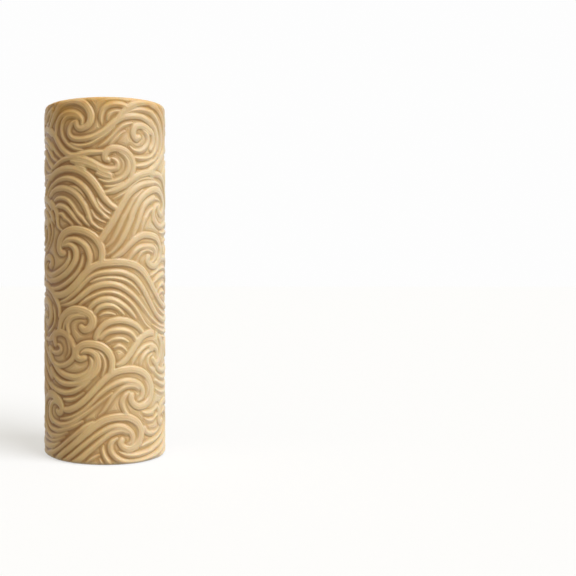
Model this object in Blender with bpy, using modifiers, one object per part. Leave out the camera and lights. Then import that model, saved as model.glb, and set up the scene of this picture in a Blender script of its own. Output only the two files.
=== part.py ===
"""Clay texture roller: a cast resin sleeve on a core tube, closed by two moulded end plugs with turning bushes.

The roller stands on its lower end face, with its axis along +Z and the origin at the centre of that face.
The side that a person sees who looks along +Y is the front.
"""

import math

import bmesh
import bpy
import numpy as np
from mathutils import Matrix

MM = 0.001

# Driving sizes of the whole roller
ROLLER_LENGTH = 150 * MM
SEAT_GAP = 0.3 * MM
CUT_OVERRUN = 1 * MM
WELD_REACH = 0.01 * MM

# Core tube, a 40 mm plastic pipe with grooves that key the resin cast round it
TUBE_RADIUS = 20 * MM
TUBE_WALL = 2 * MM
TUBE_CHAMFER = 0.5 * MM
TUBE_KEY_COUNT = 3
TUBE_KEY_WIDTH = 4 * MM
TUBE_KEY_DEPTH = 0.8 * MM

# Texture sleeve, cast in resin round the core tube
SLEEVE_WALL = 6.2 * MM
SLEEVE_RIM_ROUND = 2 * MM
SLEEVE_BORE_CHAMFER = 0.5 * MM
SLEEVE_CARVING_SPARE = 0.2 * MM

# Wave relief on the sleeve. Its main crests stand on a ground between the fine ribs' tops and the grooves' floors
CREST_HEIGHT = 0.6 * MM
CREST_BREADTH = 1.2 * MM
CREST_SLOPE = 1.5 * MM
RELIEF_STEP = 0.8 * MM
RELIEF_TRIANGLES = 6200

# End plugs, moulded with a flange, a spigot, a hub and webs between the two
PLUG_SINK = 0.5 * MM
PLUG_FLANGE_THICKNESS = 2.8 * MM
PLUG_EDGE_CHAMFER = 0.4 * MM
PLUG_SPIGOT_WALL = 2 * MM
PLUG_SPIGOT_LENGTH = 11 * MM
PLUG_HUB_WALL = 3 * MM
PLUG_HUB_LENGTH = 10 * MM
PLUG_DISH_DEPTH = 1 * MM
PLUG_DISH_MARGIN = 2.6 * MM
PLUG_WEB_COUNT = 6
PLUG_WEB_THICKNESS = 1.6 * MM
PLUG_WEB_SETBACK = 1.5 * MM
PLUG_NOTCH_COUNT = 2
PLUG_NOTCH_WIDTH = 6 * MM
PLUG_NOTCH_REACH = 1.6 * MM
PLUG_NOTCH_DEPTH = 1.3 * MM

# Axle bushes, split so that they clip into the hubs and turn in them
AXLE_RADIUS = 4 * MM
AXLE_CLEARANCE = 0.1 * MM
BUSH_WALL = 1.9 * MM
BUSH_FLANGE_REACH = 2 * MM
BUSH_FLANGE_THICKNESS = 1.4 * MM
BUSH_LIP_REACH = 0.8 * MM
BUSH_LIP_LENGTH = 1.8 * MM
BUSH_SLIT_WIDTH = 1.1 * MM

# Radii and heights at which the pieces meet
SLEEVE_BORE_RADIUS = TUBE_RADIUS + SEAT_GAP
ROLLER_RADIUS = SLEEVE_BORE_RADIUS + SLEEVE_WALL
TUBE_SETBACK = PLUG_SINK + PLUG_FLANGE_THICKNESS + SEAT_GAP
SPIGOT_RADIUS = TUBE_RADIUS - TUBE_WALL - SEAT_GAP
BUSH_RADIUS = AXLE_RADIUS + AXLE_CLEARANCE + BUSH_WALL
HUB_BORE_RADIUS = BUSH_RADIUS + SEAT_GAP
HUB_RADIUS = HUB_BORE_RADIUS + PLUG_HUB_WALL
HUB_SEAT_RADIUS = BUSH_RADIUS + BUSH_FLANGE_REACH + SEAT_GAP
HUB_SEAT_DEPTH = BUSH_FLANGE_THICKNESS + SEAT_GAP

# The waves' main crests, each a line of (share round, share up), on a sheet that wraps the sleeve once. The sheet
# is marked in SHEET_HIGH_SHARES squares up the roller and SHEET_ROUND_SHARES round it, from the front to the right
SHEET_HIGH_SHARES = 150
SHEET_ROUND_SHARES = 166.5
CREST_SHARES = [
    # upper third, from the front to the right
    [(-28, 140), (-24, 145), (-16, 149), (-9, 147), (-6, 142), (-9, 137), (-12, 139)],
    [(-12, 141), (-16, 137), (-13, 133), (-4, 134), (5, 140), (14, 143), (22, 140), (24, 134), (21, 129)],
    [(5, 141), (10, 146), (19, 149), (27, 147), (33, 141), (35, 135), (34, 130)],
    [(15, 134), (13, 134), (13, 138), (18, 138), (20, 133), (16, 128)],
    [(1, 124), (0, 127), (5, 129), (11, 126), (12, 120)],
    [(3, 125), (5, 122), (1, 120), (-6, 124), (-13, 126), (-21, 124)],
    [(0, 111), (8, 114), (15, 118), (23, 120), (28, 119), (33, 117), (38, 109), (42, 106), (48, 106)],
    [(4, 101), (9, 108), (16, 114), (23, 116)],
    [(12, 101), (16, 108), (23, 112), (28, 112), (33, 107), (30, 103), (28, 105)],
    [(23, 121), (31, 127), (39, 131), (47, 131), (52, 126), (52, 120), (48, 117), (46, 119)],
    [(31, 121), (37, 126), (44, 126), (48, 122)],
    [(37, 140), (41, 138), (45, 140), (43, 142)],
    [(42, 142), (43, 146), (48, 146), (52, 141), (51, 136), (47, 133)],
    [(51, 146), (56, 148), (62, 147), (69, 143), (78, 143)],
    [(52, 131), (57, 135), (63, 136), (70, 132), (76, 129)],
    [(57, 125), (55, 127), (60, 129), (63, 125), (62, 119), (56, 115), (48, 113), (42, 115), (42, 120), (45, 122)],
    [(66, 131), (69, 126), (68, 119), (62, 113), (53, 110)],
    [(42, 101), (48, 106), (55, 108), (62, 108), (70, 103)],
    # upper third, from the back to the front
    [(-78, 148), (-69, 149), (-62, 147), (-57, 142), (-52, 139), (-46, 141), (-46, 145), (-49, 145)],
    [(-50, 143), (-50, 147), (-45, 148), (-41, 145), (-40, 141), (-44, 136), (-51, 136), (-58, 140), (-64, 144), (-70, 145), (-78, 143)],
    [(-42, 138), (-35, 139), (-28, 138), (-23, 133), (-17, 127), (-10, 126), (-1, 127)],
    [(-78, 130), (-72, 133), (-65, 134), (-58, 132), (-53, 128), (-49, 122), (-43, 117), (-35, 115)],
    [(-57, 134), (-49, 131), (-43, 127), (-38, 121), (-31, 119), (-25, 120), (-17, 121), (-8, 119), (-2, 112), (4, 105)],
    [(-76, 121), (-70, 125), (-64, 125), (-58, 121), (-53, 115), (-46, 110)],
    [(-65, 112), (-61, 114), (-62, 119), (-67, 122), (-73, 120), (-77, 117)],
    [(-65, 115), (-71, 115), (-74, 110), (-72, 104), (-66, 99)],
    [(-54, 101), (-51, 102), (-51, 106), (-57, 108), (-62, 104), (-62, 98)],
    [(-28, 112), (-22, 113), (-14, 111), (-8, 105), (-6, 99)],
    [(-48, 103), (-44, 108), (-36, 110), (-29, 108), (-24, 104), (-23, 98)],
    # middle third
    [(-40, 95), (-38, 99), (-33, 100), (-30, 95), (-34, 89), (-44, 88)],
    [(-50, 104), (-49, 98), (-42, 95)],
    [(-60, 101), (-58, 95), (-49, 90), (-42, 84), (-36, 78), (-28, 75), (-20, 76), (-13, 82), (-13, 88), (-18, 90)],
    [(-78, 90), (-70, 94), (-60, 93), (-52, 91)],
    [(-78, 86), (-70, 90), (-62, 91), (-54, 88), (-47, 82), (-41, 75)],
    [(-67, 78), (-67, 82), (-60, 83), (-55, 78), (-57, 71), (-65, 69), (-78, 74)],
    [(-78, 79), (-71, 76), (-65, 74), (-60, 78), (-63, 81)],
    [(-78, 65), (-69, 63), (-61, 63), (-53, 68), (-45, 73), (-36, 73), (-27, 70), (-22, 64)],
    [(-33, 58), (-30, 57), (-28, 62), (-32, 66), (-40, 66), (-46, 60), (-48, 54)],
    [(-19, 86), (-22, 89), (-19, 94), (-12, 96), (-5, 93), (-1, 88), (-2, 83)],
    [(-28, 71), (-21, 69), (-13, 73), (-6, 80), (5, 82), (14, 81), (20, 75), (25, 70), (31, 65), (38, 64), (45, 65), (48, 69), (46, 72)],
    [(-20, 65), (-13, 67), (-5, 72), (3, 74), (11, 70), (19, 62), (25, 58), (32, 55), (41, 56), (48, 59)],
    [(-4, 52), (-1, 56), (6, 59), (13, 57), (17, 53)],
    [(-10, 56), (-6, 56), (-5, 60), (-9, 63), (-16, 63), (-22, 56)],
    [(4, 101), (-1, 93)],
    [(12, 101), (8, 93), (1, 85)],
    [(4, 84), (10, 89), (17, 94), (24, 93), (29, 90), (29, 84), (23, 81), (20, 84)],
    [(29, 84), (35, 85), (42, 82), (47, 77), (51, 72), (51, 66), (46, 61), (38, 58), (30, 59), (24, 63), (18, 71)],
    [(48, 74), (43, 73), (43, 69)],
    [(24, 101), (28, 98), (38, 99), (46, 97), (54, 92)],
    [(37, 86), (42, 89), (49, 88)],
    [(57, 83), (60, 82), (61, 87), (57, 90), (51, 89), (48, 84), (50, 79), (57, 74), (65, 72), (76, 67)],
    [(56, 81), (62, 79), (70, 79), (78, 79)],
    [(54, 94), (61, 97), (68, 95), (76, 91)],
    [(63, 59), (61, 57), (66, 57), (67, 62), (61, 65), (55, 62), (49, 56), (41, 53), (33, 53)],
    # lower third
    [(-77, 50), (-71, 53), (-64, 52), (-62, 46), (-66, 39), (-74, 37), (-78, 37)],
    [(-60, 44), (-55, 50), (-46, 53), (-39, 51), (-32, 47), (-26, 40), (-19, 36), (-10, 36), (-6, 40)],
    [(-56, 43), (-47, 45), (-39, 42), (-33, 35), (-27, 31), (-19, 29), (-12, 30), (-6, 34), (-3, 41), (-6, 46)],
    [(-75, 26), (-70, 33), (-64, 38), (-56, 41), (-47, 41), (-40, 37), (-34, 31)],
    [(-46, 26), (-43, 25), (-42, 30), (-47, 33), (-54, 30), (-57, 24), (-55, 17)],
    [(-45, 30), (-51, 28), (-53, 23), (-50, 17), (-44, 13), (-39, 12)],
    [(-78, 24), (-70, 25), (-62, 22), (-56, 17), (-50, 10), (-42, 6), (-34, 5), (-26, 6), (-17, 10), (-9, 15)],
    [(-78, 16), (-70, 16), (-62, 11), (-54, 5), (-45, 1), (-36, 1)],
    [(-78, 8), (-70, 5), (-62, 0)],
    [(-23, 21), (-20, 21), (-22, 25), (-29, 27), (-35, 24), (-36, 18), (-33, 12), (-26, 12), (-18, 11)],
    [(-22, 24), (-27, 23), (-28, 18), (-22, 14), (-14, 16), (-5, 23), (3, 29)],
    [(-24, 48), (-25, 52), (-20, 54), (-15, 50), (-15, 43), (-22, 40)],
    [(-9, 43), (-12, 44), (-11, 48), (-4, 49), (2, 45), (3, 38)],
    [(-18, 22), (-10, 25), (-2, 33), (5, 38), (13, 39), (20, 35), (22, 29), (19, 24), (13, 24), (11, 28)],
    [(-3, 20), (2, 26), (8, 31), (14, 31), (17, 28)],
    [(-28, 0), (-18, 6), (-9, 14), (-1, 19), (8, 20), (15, 16), (16, 10), (10, 6), (7, 9)],
    [(-14, 0), (-6, 6), (2, 13), (9, 13), (12, 9)],
    [(5, 11), (2, 8), (6, 2), (14, 0)],
    [(6, 41), (11, 45), (16, 51), (23, 53), (29, 51), (31, 46), (28, 41), (23, 43)],
    [(42, 44), (39, 43), (39, 48), (45, 50), (51, 47), (53, 41), (50, 36), (43, 31), (35, 30), (26, 33)],
    [(41, 45), (46, 45), (46, 40), (40, 37), (32, 36), (26, 39)],
    [(49, 50), (55, 52), (62, 51), (70, 47), (78, 45)],
    [(55, 43), (62, 44), (70, 42), (78, 40)],
    [(52, 37), (59, 39), (66, 36), (69, 30), (67, 24)],
    [(44, 29), (50, 32), (57, 33), (63, 29), (62, 23), (57, 22), (55, 25)],
    [(57, 26), (52, 25), (53, 19), (60, 16)],
    [(31, 15), (28, 16), (30, 22), (38, 24), (45, 20), (48, 14), (45, 7), (36, 2)],
    [(31, 19), (38, 18), (38, 12), (31, 7), (22, 4), (12, 4)],
    [(48, 10), (56, 14), (64, 15), (72, 13), (80, 12)],
    [(42, 1), (50, 6), (58, 9), (66, 9), (74, 8)],
    [(55, 1), (62, 2), (69, 0)],
]

# Steps round the turned pieces
SLEEVE_STEPS = 96
TUBE_STEPS = 64
PLUG_STEPS = 48
BUSH_STEPS = 32
ROUND_STEPS = 4
CREST_PIECES = 4


def clear_scene():
    for thing in list(bpy.data.objects):
        bpy.data.objects.remove(thing, do_unlink=True)


def new_collection(name):
    collection = bpy.data.collections.new(name)
    bpy.context.scene.collection.children.link(collection)
    return collection


def plastic(name, colour, roughness):
    """A Principled material without metal."""
    material = bpy.data.materials.new(name)
    material.use_nodes = True
    shader = material.node_tree.nodes["Principled BSDF"]
    shader.inputs["Base Color"].default_value = (*colour, 1.0)
    shader.inputs["Roughness"].default_value = roughness
    shader.inputs["Metallic"].default_value = 0.0
    return material


def arc(centre_radius, centre_height, size, start_degrees, end_degrees):
    """Points of a round in the profile plane, each a (radius, height) pair."""
    points = []
    for step in range(ROUND_STEPS + 1):
        share = step / ROUND_STEPS
        angle = math.radians(start_degrees + share * (end_degrees - start_degrees))
        points.append((centre_radius + size * math.cos(angle), centre_height + size * math.sin(angle)))
    return points


def turned(name, profile, steps, material, collection):
    """A closed (radius, height) profile, outer side first and downwards, turned about +Z."""
    mesh = bpy.data.meshes.new(name)
    vertices = [(radius, 0.0, height) for radius, height in profile]
    edges = [(i, (i + 1) % len(profile)) for i in range(len(profile))]
    mesh.from_pydata(vertices, edges, [])
    piece = bpy.data.objects.new(name, mesh)
    collection.objects.link(piece)
    screw = piece.modifiers.new("turn", "SCREW")
    screw.axis = "Z"
    screw.angle = math.tau
    screw.steps = steps
    screw.render_steps = steps
    screw.use_merge_vertices = True
    screw.merge_threshold = WELD_REACH
    mesh.materials.append(material)
    return piece


def settle(piece):
    """Applies the modifiers, so that the piece holds its final mesh."""
    evaluated = piece.evaluated_get(bpy.context.evaluated_depsgraph_get())
    made = bpy.data.meshes.new_from_object(evaluated)
    piece.modifiers.clear()
    piece.data = made
    return piece


def shade(piece):
    piece.data.shade_smooth()
    piece.data.set_sharp_from_angle(angle=math.radians(30))
    return piece


def block(name, size, centre, turn, collection):
    """A box of that size whose centre is moved out along X and then turned about Z."""
    mesh = bpy.data.meshes.new(name)
    shape = bmesh.new()
    bmesh.ops.create_cube(shape, size=1.0)
    bmesh.ops.scale(shape, vec=size, verts=shape.verts)
    bmesh.ops.translate(shape, vec=centre, verts=shape.verts)
    bmesh.ops.rotate(shape, cent=(0, 0, 0), matrix=Matrix.Rotation(turn, 3, "Z"), verts=shape.verts)
    shape.to_mesh(mesh)
    shape.free()
    piece = bpy.data.objects.new(name, mesh)
    piece.hide_render = True
    piece.display_type = "WIRE"
    collection.objects.link(piece)
    return piece


def combine(piece, tools, operation):
    """Cuts or joins each tool with an exact Boolean."""
    for tool in tools:
        modifier = piece.modifiers.new(tool.name, "BOOLEAN")
        modifier.operation = operation
        modifier.object = tool
    return piece


def tidied(piece):
    """Merges what an exact cut leaves closer together than WELD_REACH."""
    shape = bmesh.new()
    shape.from_mesh(piece.data)
    bmesh.ops.triangulate(shape, faces=shape.faces)
    bmesh.ops.dissolve_degenerate(shape, dist=WELD_REACH, edges=shape.edges)
    shape.to_mesh(piece.data)
    shape.free()
    return piece


def key_heights():
    """Heights of the middles of the tube's key grooves, lowest first."""
    low = TUBE_SETBACK
    high = ROLLER_LENGTH - TUBE_SETBACK
    return [low + (high - low) * (i + 1) / (TUBE_KEY_COUNT + 1) for i in range(TUBE_KEY_COUNT)]


def smooth_line(points, pieces):
    """A smooth curve through the points, each stretch of it cut into that many pieces."""
    drawn = np.array(points, float)
    padded = np.vstack([2 * drawn[0] - drawn[1], drawn, 2 * drawn[-1] - drawn[-2]])
    line = [drawn[0]]
    for before, start, end, after in zip(padded, padded[1:], padded[2:], padded[3:]):
        for share in np.linspace(0, 1, pieces + 1)[1:]:
            line.append(
                start
                + share * (end - before) / 2
                + share**2 * (2 * before - 5 * start + 4 * end - after) / 2
                + share**3 * (3 * start - before - 3 * end + after) / 2
            )
    return np.array(line)


def crest_lift(turn, height):
    """The relief at points of the sleeve's side, from 0 on the ground to 1 on a crest's top."""
    lift = np.zeros(len(turn))
    size = np.array([math.tau * ROLLER_RADIUS / SHEET_ROUND_SHARES, ROLLER_LENGTH / SHEET_HIGH_SHARES])
    around = math.tau * ROLLER_RADIUS
    reach = CREST_BREADTH / 2 + CREST_SLOPE
    for points in CREST_SHARES:
        line = smooth_line(points, CREST_PIECES) * size
        for start, end in zip(line[:-1], line[1:]):
            middle = (start + end) / 2
            across = turn * ROLLER_RADIUS - middle[0]
            across = across - around * np.round(across / around)
            up = height - middle[1]
            span = np.linalg.norm(end - start)
            near = np.hypot(across, up) < reach + span
            way = (end - start) / span
            along = np.clip(across[near] * way[0] + up[near] * way[1], -span / 2, span / 2)
            away = np.hypot(across[near] - along * way[0], up[near] - along * way[1])
            rise = np.clip((reach - away) / CREST_SLOPE, 0, 1)
            lift[near] = np.maximum(lift[near], rise * rise * (3 - 2 * rise))
    return lift


def carved_side(name, material, collection):
    """A solid cylinder, longer than the roller, whose side carries the crests: a sheet, raised, rolled and capped."""
    length = ROLLER_LENGTH + 2 * CUT_OVERRUN
    sheet = bmesh.new()
    columns = round(math.tau * ROLLER_RADIUS / RELIEF_STEP)
    bmesh.ops.create_grid(sheet, x_segments=columns, y_segments=round(length / RELIEF_STEP), size=0.5)
    places = np.array([vertex.co for vertex in sheet.verts])
    turn = places[:, 0] * math.tau
    height = (places[:, 1] + 0.5) * length - CUT_OVERRUN
    radius = ROLLER_RADIUS - CREST_HEIGHT * (1 - crest_lift(turn, height))
    for vertex, angle, out, up in zip(sheet.verts, turn, radius, height):
        vertex.co = (out * math.sin(angle), -out * math.cos(angle), up)
    bmesh.ops.remove_doubles(sheet, verts=sheet.verts, dist=WELD_REACH)
    bmesh.ops.holes_fill(sheet, edges=[e for e in sheet.edges if e.is_boundary], sides=0)
    bmesh.ops.triangulate(sheet, faces=sheet.faces)
    bmesh.ops.recalc_face_normals(sheet, faces=sheet.faces)
    mesh = bpy.data.meshes.new(name)
    sheet.to_mesh(mesh)
    sheet.free()
    mesh.materials.append(material)
    piece = bpy.data.objects.new(name, mesh)
    collection.objects.link(piece)
    fewer = piece.modifiers.new("fewer_faces", "DECIMATE")
    fewer.ratio = min(1.0, RELIEF_TRIANGLES / len(mesh.polygons))
    return settle(piece)


def texture_sleeve(material, collection, cutters):
    """The cast sleeve: a turned blank, round at both outer rims and ribbed in its bore, whose side is carved."""
    inner = SLEEVE_BORE_RADIUS
    outer = ROLLER_RADIUS + SLEEVE_CARVING_SPARE
    edge = outer - SLEEVE_RIM_ROUND
    top = ROLLER_LENGTH - SLEEVE_RIM_ROUND
    rib = TUBE_RADIUS - TUBE_KEY_DEPTH + SEAT_GAP
    half = TUBE_KEY_WIDTH / 2 - SEAT_GAP
    profile = arc(edge, top, SLEEVE_RIM_ROUND, 90, 0)
    profile += arc(edge, SLEEVE_RIM_ROUND, SLEEVE_RIM_ROUND, 0, -90)
    profile += [(inner + SLEEVE_BORE_CHAMFER, 0.0), (inner, SLEEVE_BORE_CHAMFER)]
    for height in key_heights():
        profile += [(inner, height - half), (rib, height - half), (rib, height + half), (inner, height + half)]
    profile += [
        (inner, ROLLER_LENGTH - SLEEVE_BORE_CHAMFER),
        (inner + SLEEVE_BORE_CHAMFER, ROLLER_LENGTH),
    ]
    sleeve = settle(turned("texture_sleeve", profile, SLEEVE_STEPS, material, collection))
    side = carved_side("sleeve_carving", material, cutters)
    side.hide_render = True
    side.display_type = "WIRE"
    return shade(tidied(settle(combine(sleeve, [side], "INTERSECT"))))


def core_tube(material, collection):
    """The pipe inside the sleeve, which stops short of both ends to seat the plugs."""
    low = TUBE_SETBACK
    high = ROLLER_LENGTH - TUBE_SETBACK
    outer = TUBE_RADIUS
    inner = TUBE_RADIUS - TUBE_WALL
    groove = TUBE_RADIUS - TUBE_KEY_DEPTH
    half = TUBE_KEY_WIDTH / 2
    profile = [(outer - TUBE_CHAMFER, high), (outer, high - TUBE_CHAMFER)]
    for height in reversed(key_heights()):
        profile += [
            (outer, height + half),
            (groove, height + half),
            (groove, height - half),
            (outer, height - half),
        ]
    profile += [
        (outer, low + TUBE_CHAMFER),
        (outer - TUBE_CHAMFER, low),
        (inner + TUBE_CHAMFER, low),
        (inner, low + TUBE_CHAMFER),
        (inner, high - TUBE_CHAMFER),
        (inner + TUBE_CHAMFER, high),
    ]
    return shade(settle(turned("core_tube", profile, TUBE_STEPS, material, collection)))


def end_plug(name, material, collection, cutters):
    """A plug whose outer face is at height 0 and whose spigot and hub reach down into the tube."""
    rim = SLEEVE_BORE_RADIUS - SEAT_GAP
    floor = -PLUG_FLANGE_THICKNESS
    spigot_end = floor - PLUG_SPIGOT_LENGTH
    hub_end = floor - PLUG_HUB_LENGTH
    spigot_inner = SPIGOT_RADIUS - PLUG_SPIGOT_WALL
    dish_outer = rim - PLUG_DISH_MARGIN
    dish_inner = HUB_RADIUS + PLUG_DISH_DEPTH
    profile = [
        (rim - PLUG_EDGE_CHAMFER, 0.0),
        (rim, -PLUG_EDGE_CHAMFER),
        (rim, floor),
        (SPIGOT_RADIUS, floor),
        (SPIGOT_RADIUS, spigot_end + PLUG_EDGE_CHAMFER),
        (SPIGOT_RADIUS - PLUG_EDGE_CHAMFER, spigot_end),
        (spigot_inner, spigot_end),
        (spigot_inner, floor),
        (HUB_RADIUS, floor),
        (HUB_RADIUS, hub_end),
        (HUB_BORE_RADIUS, hub_end),
        (HUB_BORE_RADIUS, -HUB_SEAT_DEPTH),
        (HUB_SEAT_RADIUS, -HUB_SEAT_DEPTH),
        (HUB_SEAT_RADIUS, 0.0),
        (dish_inner, 0.0),
        (dish_inner + PLUG_DISH_DEPTH, -PLUG_DISH_DEPTH),
        (dish_outer - PLUG_DISH_DEPTH, -PLUG_DISH_DEPTH),
        (dish_outer, 0.0),
    ]
    plug = turned(name, profile, PLUG_STEPS, material, collection)
    settle(plug)

    web_inner = HUB_BORE_RADIUS + PLUG_HUB_WALL / 2
    web_outer = spigot_inner + PLUG_SPIGOT_WALL / 2
    web_top = floor + (PLUG_FLANGE_THICKNESS - PLUG_DISH_DEPTH) / 2
    web_bottom = hub_end + PLUG_WEB_SETBACK
    web_size = (web_outer - web_inner, PLUG_WEB_THICKNESS, web_top - web_bottom)
    web_centre = ((web_outer + web_inner) / 2, 0.0, (web_top + web_bottom) / 2)
    webs = [
        block(f"{name}_web_{i}", web_size, web_centre, math.tau * i / PLUG_WEB_COUNT, cutters)
        for i in range(PLUG_WEB_COUNT)
    ]
    notch_size = (PLUG_NOTCH_REACH + CUT_OVERRUN, PLUG_NOTCH_WIDTH, PLUG_NOTCH_DEPTH + CUT_OVERRUN)
    notch_centre = (
        rim - PLUG_NOTCH_REACH + notch_size[0] / 2,
        0.0,
        notch_size[2] / 2 - PLUG_NOTCH_DEPTH,
    )
    notches = [
        block(f"{name}_notch_{i}", notch_size, notch_centre, math.tau * i / PLUG_NOTCH_COUNT, cutters)
        for i in range(PLUG_NOTCH_COUNT)
    ]
    combine(plug, webs, "UNION")
    combine(plug, notches, "DIFFERENCE")
    return shade(settle(plug))


def axle_bush(name, material, collection, cutters):
    """A split bush whose flange face is at height 0: flange, plain body and a clip lip below the hub."""
    bore = AXLE_RADIUS + AXLE_CLEARANCE
    flange = BUSH_RADIUS + BUSH_FLANGE_REACH
    lip = BUSH_RADIUS + BUSH_LIP_REACH
    hub_end = -PLUG_FLANGE_THICKNESS - PLUG_HUB_LENGTH
    lip_top = hub_end - SEAT_GAP
    end = lip_top - BUSH_LIP_LENGTH
    chamfer = BUSH_LIP_REACH / 2
    profile = [
        (flange - chamfer, 0.0),
        (flange, -chamfer),
        (flange, -BUSH_FLANGE_THICKNESS),
        (BUSH_RADIUS, -BUSH_FLANGE_THICKNESS),
        (BUSH_RADIUS, lip_top),
        (lip, lip_top),
        (BUSH_RADIUS - chamfer, end),
        (bore, end),
        (bore, -chamfer),
        (bore + chamfer, 0.0),
    ]
    bush = turned(name, profile, BUSH_STEPS, material, collection)
    settle(bush)
    slit_length = flange + CUT_OVERRUN
    slit_height = CUT_OVERRUN - end + CUT_OVERRUN
    slit_size = (slit_length, BUSH_SLIT_WIDTH, slit_height)
    slit_centre = (slit_length / 2, 0.0, CUT_OVERRUN - slit_height / 2)
    slit = block(f"{name}_slit", slit_size, slit_centre, -math.pi / 2, cutters)
    combine(bush, [slit], "DIFFERENCE")
    return shade(settle(bush))


def seat(piece, height, upside_down):
    """Puts a plug or bush at an end of the roller: as made at the upper end, turned over at the lower end."""
    if upside_down:
        piece.rotation_euler = (math.pi, 0.0, 0.0)
    piece.location = (0.0, 0.0, height)
    return piece


def main():
    clear_scene()
    roller = new_collection("clay_texture_roller")
    cutters = new_collection("cutters")
    cutters.hide_render = True

    resin = plastic("tan_resin", (0.66, 0.47, 0.25), 0.32)
    pipe = plastic("pale_pipe", (0.78, 0.77, 0.73), 0.5)
    moulding = plastic("cream_moulding", (0.70, 0.60, 0.44), 0.45)
    nylon = plastic("natural_nylon", (0.80, 0.78, 0.71), 0.4)

    texture_sleeve(resin, roller, cutters)
    core_tube(pipe, roller)
    upper_face = ROLLER_LENGTH - PLUG_SINK
    lower_face = PLUG_SINK
    seat(end_plug("upper_end_plug", moulding, roller, cutters), upper_face, False)
    seat(end_plug("lower_end_plug", moulding, roller, cutters), lower_face, True)
    seat(axle_bush("upper_axle_bush", nylon, roller, cutters), upper_face, False)
    seat(axle_bush("lower_axle_bush", nylon, roller, cutters), lower_face, True)


main()
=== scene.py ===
"""The looks of a clay texture roller: a carved resin sleeve on a tube, with two plugs and two bushes."""

import math

import bmesh
import bpy
import numpy as np
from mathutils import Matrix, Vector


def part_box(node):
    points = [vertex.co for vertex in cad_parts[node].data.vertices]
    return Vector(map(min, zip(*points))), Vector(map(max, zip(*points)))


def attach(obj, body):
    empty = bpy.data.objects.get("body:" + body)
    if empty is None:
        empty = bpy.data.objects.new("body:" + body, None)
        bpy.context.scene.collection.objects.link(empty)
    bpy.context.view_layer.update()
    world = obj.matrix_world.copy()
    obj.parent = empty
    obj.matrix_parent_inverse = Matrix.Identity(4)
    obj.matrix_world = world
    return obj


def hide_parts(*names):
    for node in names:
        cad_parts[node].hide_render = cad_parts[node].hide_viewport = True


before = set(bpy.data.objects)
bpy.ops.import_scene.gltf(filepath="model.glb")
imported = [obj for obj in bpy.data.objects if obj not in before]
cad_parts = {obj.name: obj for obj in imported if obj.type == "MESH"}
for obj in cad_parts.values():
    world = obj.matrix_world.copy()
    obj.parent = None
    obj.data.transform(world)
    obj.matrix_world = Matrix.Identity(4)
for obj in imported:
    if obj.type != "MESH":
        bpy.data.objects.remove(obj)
bpy.ops.object.select_all(action="DESELECT")
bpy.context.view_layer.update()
MM = 0.001

# The core tube: a stock 40 mm pipe of pale plastic, sawn to length and grooved on the lathe to key the resin.
# It is seen only past the plugs' notches, so it keeps its CAD mesh and gets the dull finish of sawn pipe.
pipe_colour = (0.72, 0.71, 0.67)
pipe_grime = (0.50, 0.47, 0.41)


def fill_sockets(tree, node, given):
    """Sets each named socket of a node, or links it where another node's socket is given."""
    for name, value in given.items():
        if isinstance(value, bpy.types.NodeSocket):
            tree.links.new(value, node.inputs[name])
        else:
            node.inputs[name].default_value = value


def added(tree, kind, output, given, **settings):
    """Adds a node with its settings and sockets, and returns one of its outputs."""
    node = tree.nodes.new(kind)
    for name, value in settings.items():
        setattr(node, name, value)
    fill_sockets(tree, node, given)
    return node.outputs[output]


def worked_out(tree, operation, *given):
    """The result of one operation, such as MULTIPLY, on sockets and numbers."""
    return added(tree, "ShaderNodeMath", "Value", dict(enumerate(given)), operation=operation)


def ranged(tree, value, start, end, low=0.0, high=1.0):
    """Goes from low to high while the value goes from start to end, and stays there before and after."""
    given = {"Value": value, "From Min": start, "From Max": end, "To Min": low, "To Max": high}
    return added(tree, "ShaderNodeMapRange", "Result", given)


def blended(tree, share, first, second):
    """A colour that goes from the first to the second as the share goes from 0 to 1."""
    given = {"Factor": share, "A": first, "B": second}
    return added(tree, "ShaderNodeMix", "Result", given, data_type="RGBA")


def noise(tree, place, scale, detail=2.0):
    """A cloudy pattern between 0 and 1."""
    return added(tree, "ShaderNodeTexNoise", "Fac", {"Vector": place, "Scale": scale, "Detail": detail})


def plastic_grain():
    """Uneven tone and fine pitting of moulded plastic or resin, shared by every finish on the roller."""
    group = bpy.data.node_groups.new("plastic_grain", "ShaderNodeTree")
    for label, kind, value in (
        ("Clean", "NodeSocketColor", (0.8, 0.8, 0.8, 1)),
        ("Worn", "NodeSocketColor", (0.5, 0.5, 0.5, 1)),
        ("Patch Size", "NodeSocketFloat", 60.0),
        ("Grain Size", "NodeSocketFloat", 900.0),
        ("Roughness", "NodeSocketFloat", 0.4),
        ("Roughness Spread", "NodeSocketFloat", 0.1),
    ):
        socket = group.interface.new_socket(name=label, in_out="INPUT", socket_type=kind)
        socket.default_value = value
    for label, kind in (
        ("Color", "NodeSocketColor"),
        ("Roughness", "NodeSocketFloat"),
        ("Height", "NodeSocketFloat"),
    ):
        group.interface.new_socket(name=label, in_out="OUTPUT", socket_type=kind)
    given = group.nodes.new("NodeGroupInput").outputs
    put_out = group.nodes.new("NodeGroupOutput")
    place = group.nodes.new("ShaderNodeTexCoord").outputs["Object"]
    worn_start, worn_full = 0.35, 0.72
    worn_share = ranged(group, noise(group, place, given["Patch Size"], detail=5), worn_start, worn_full)
    roughness = worked_out(group, "MULTIPLY_ADD", worn_share, given["Roughness Spread"], given["Roughness"])
    colour = blended(group, worn_share, given["Clean"], given["Worn"])
    pitting = noise(group, place, given["Grain Size"], detail=3)
    fill_sockets(group, put_out, {"Color": colour, "Roughness": roughness, "Height": pitting})
    return group


grain_group = plastic_grain()


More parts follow.
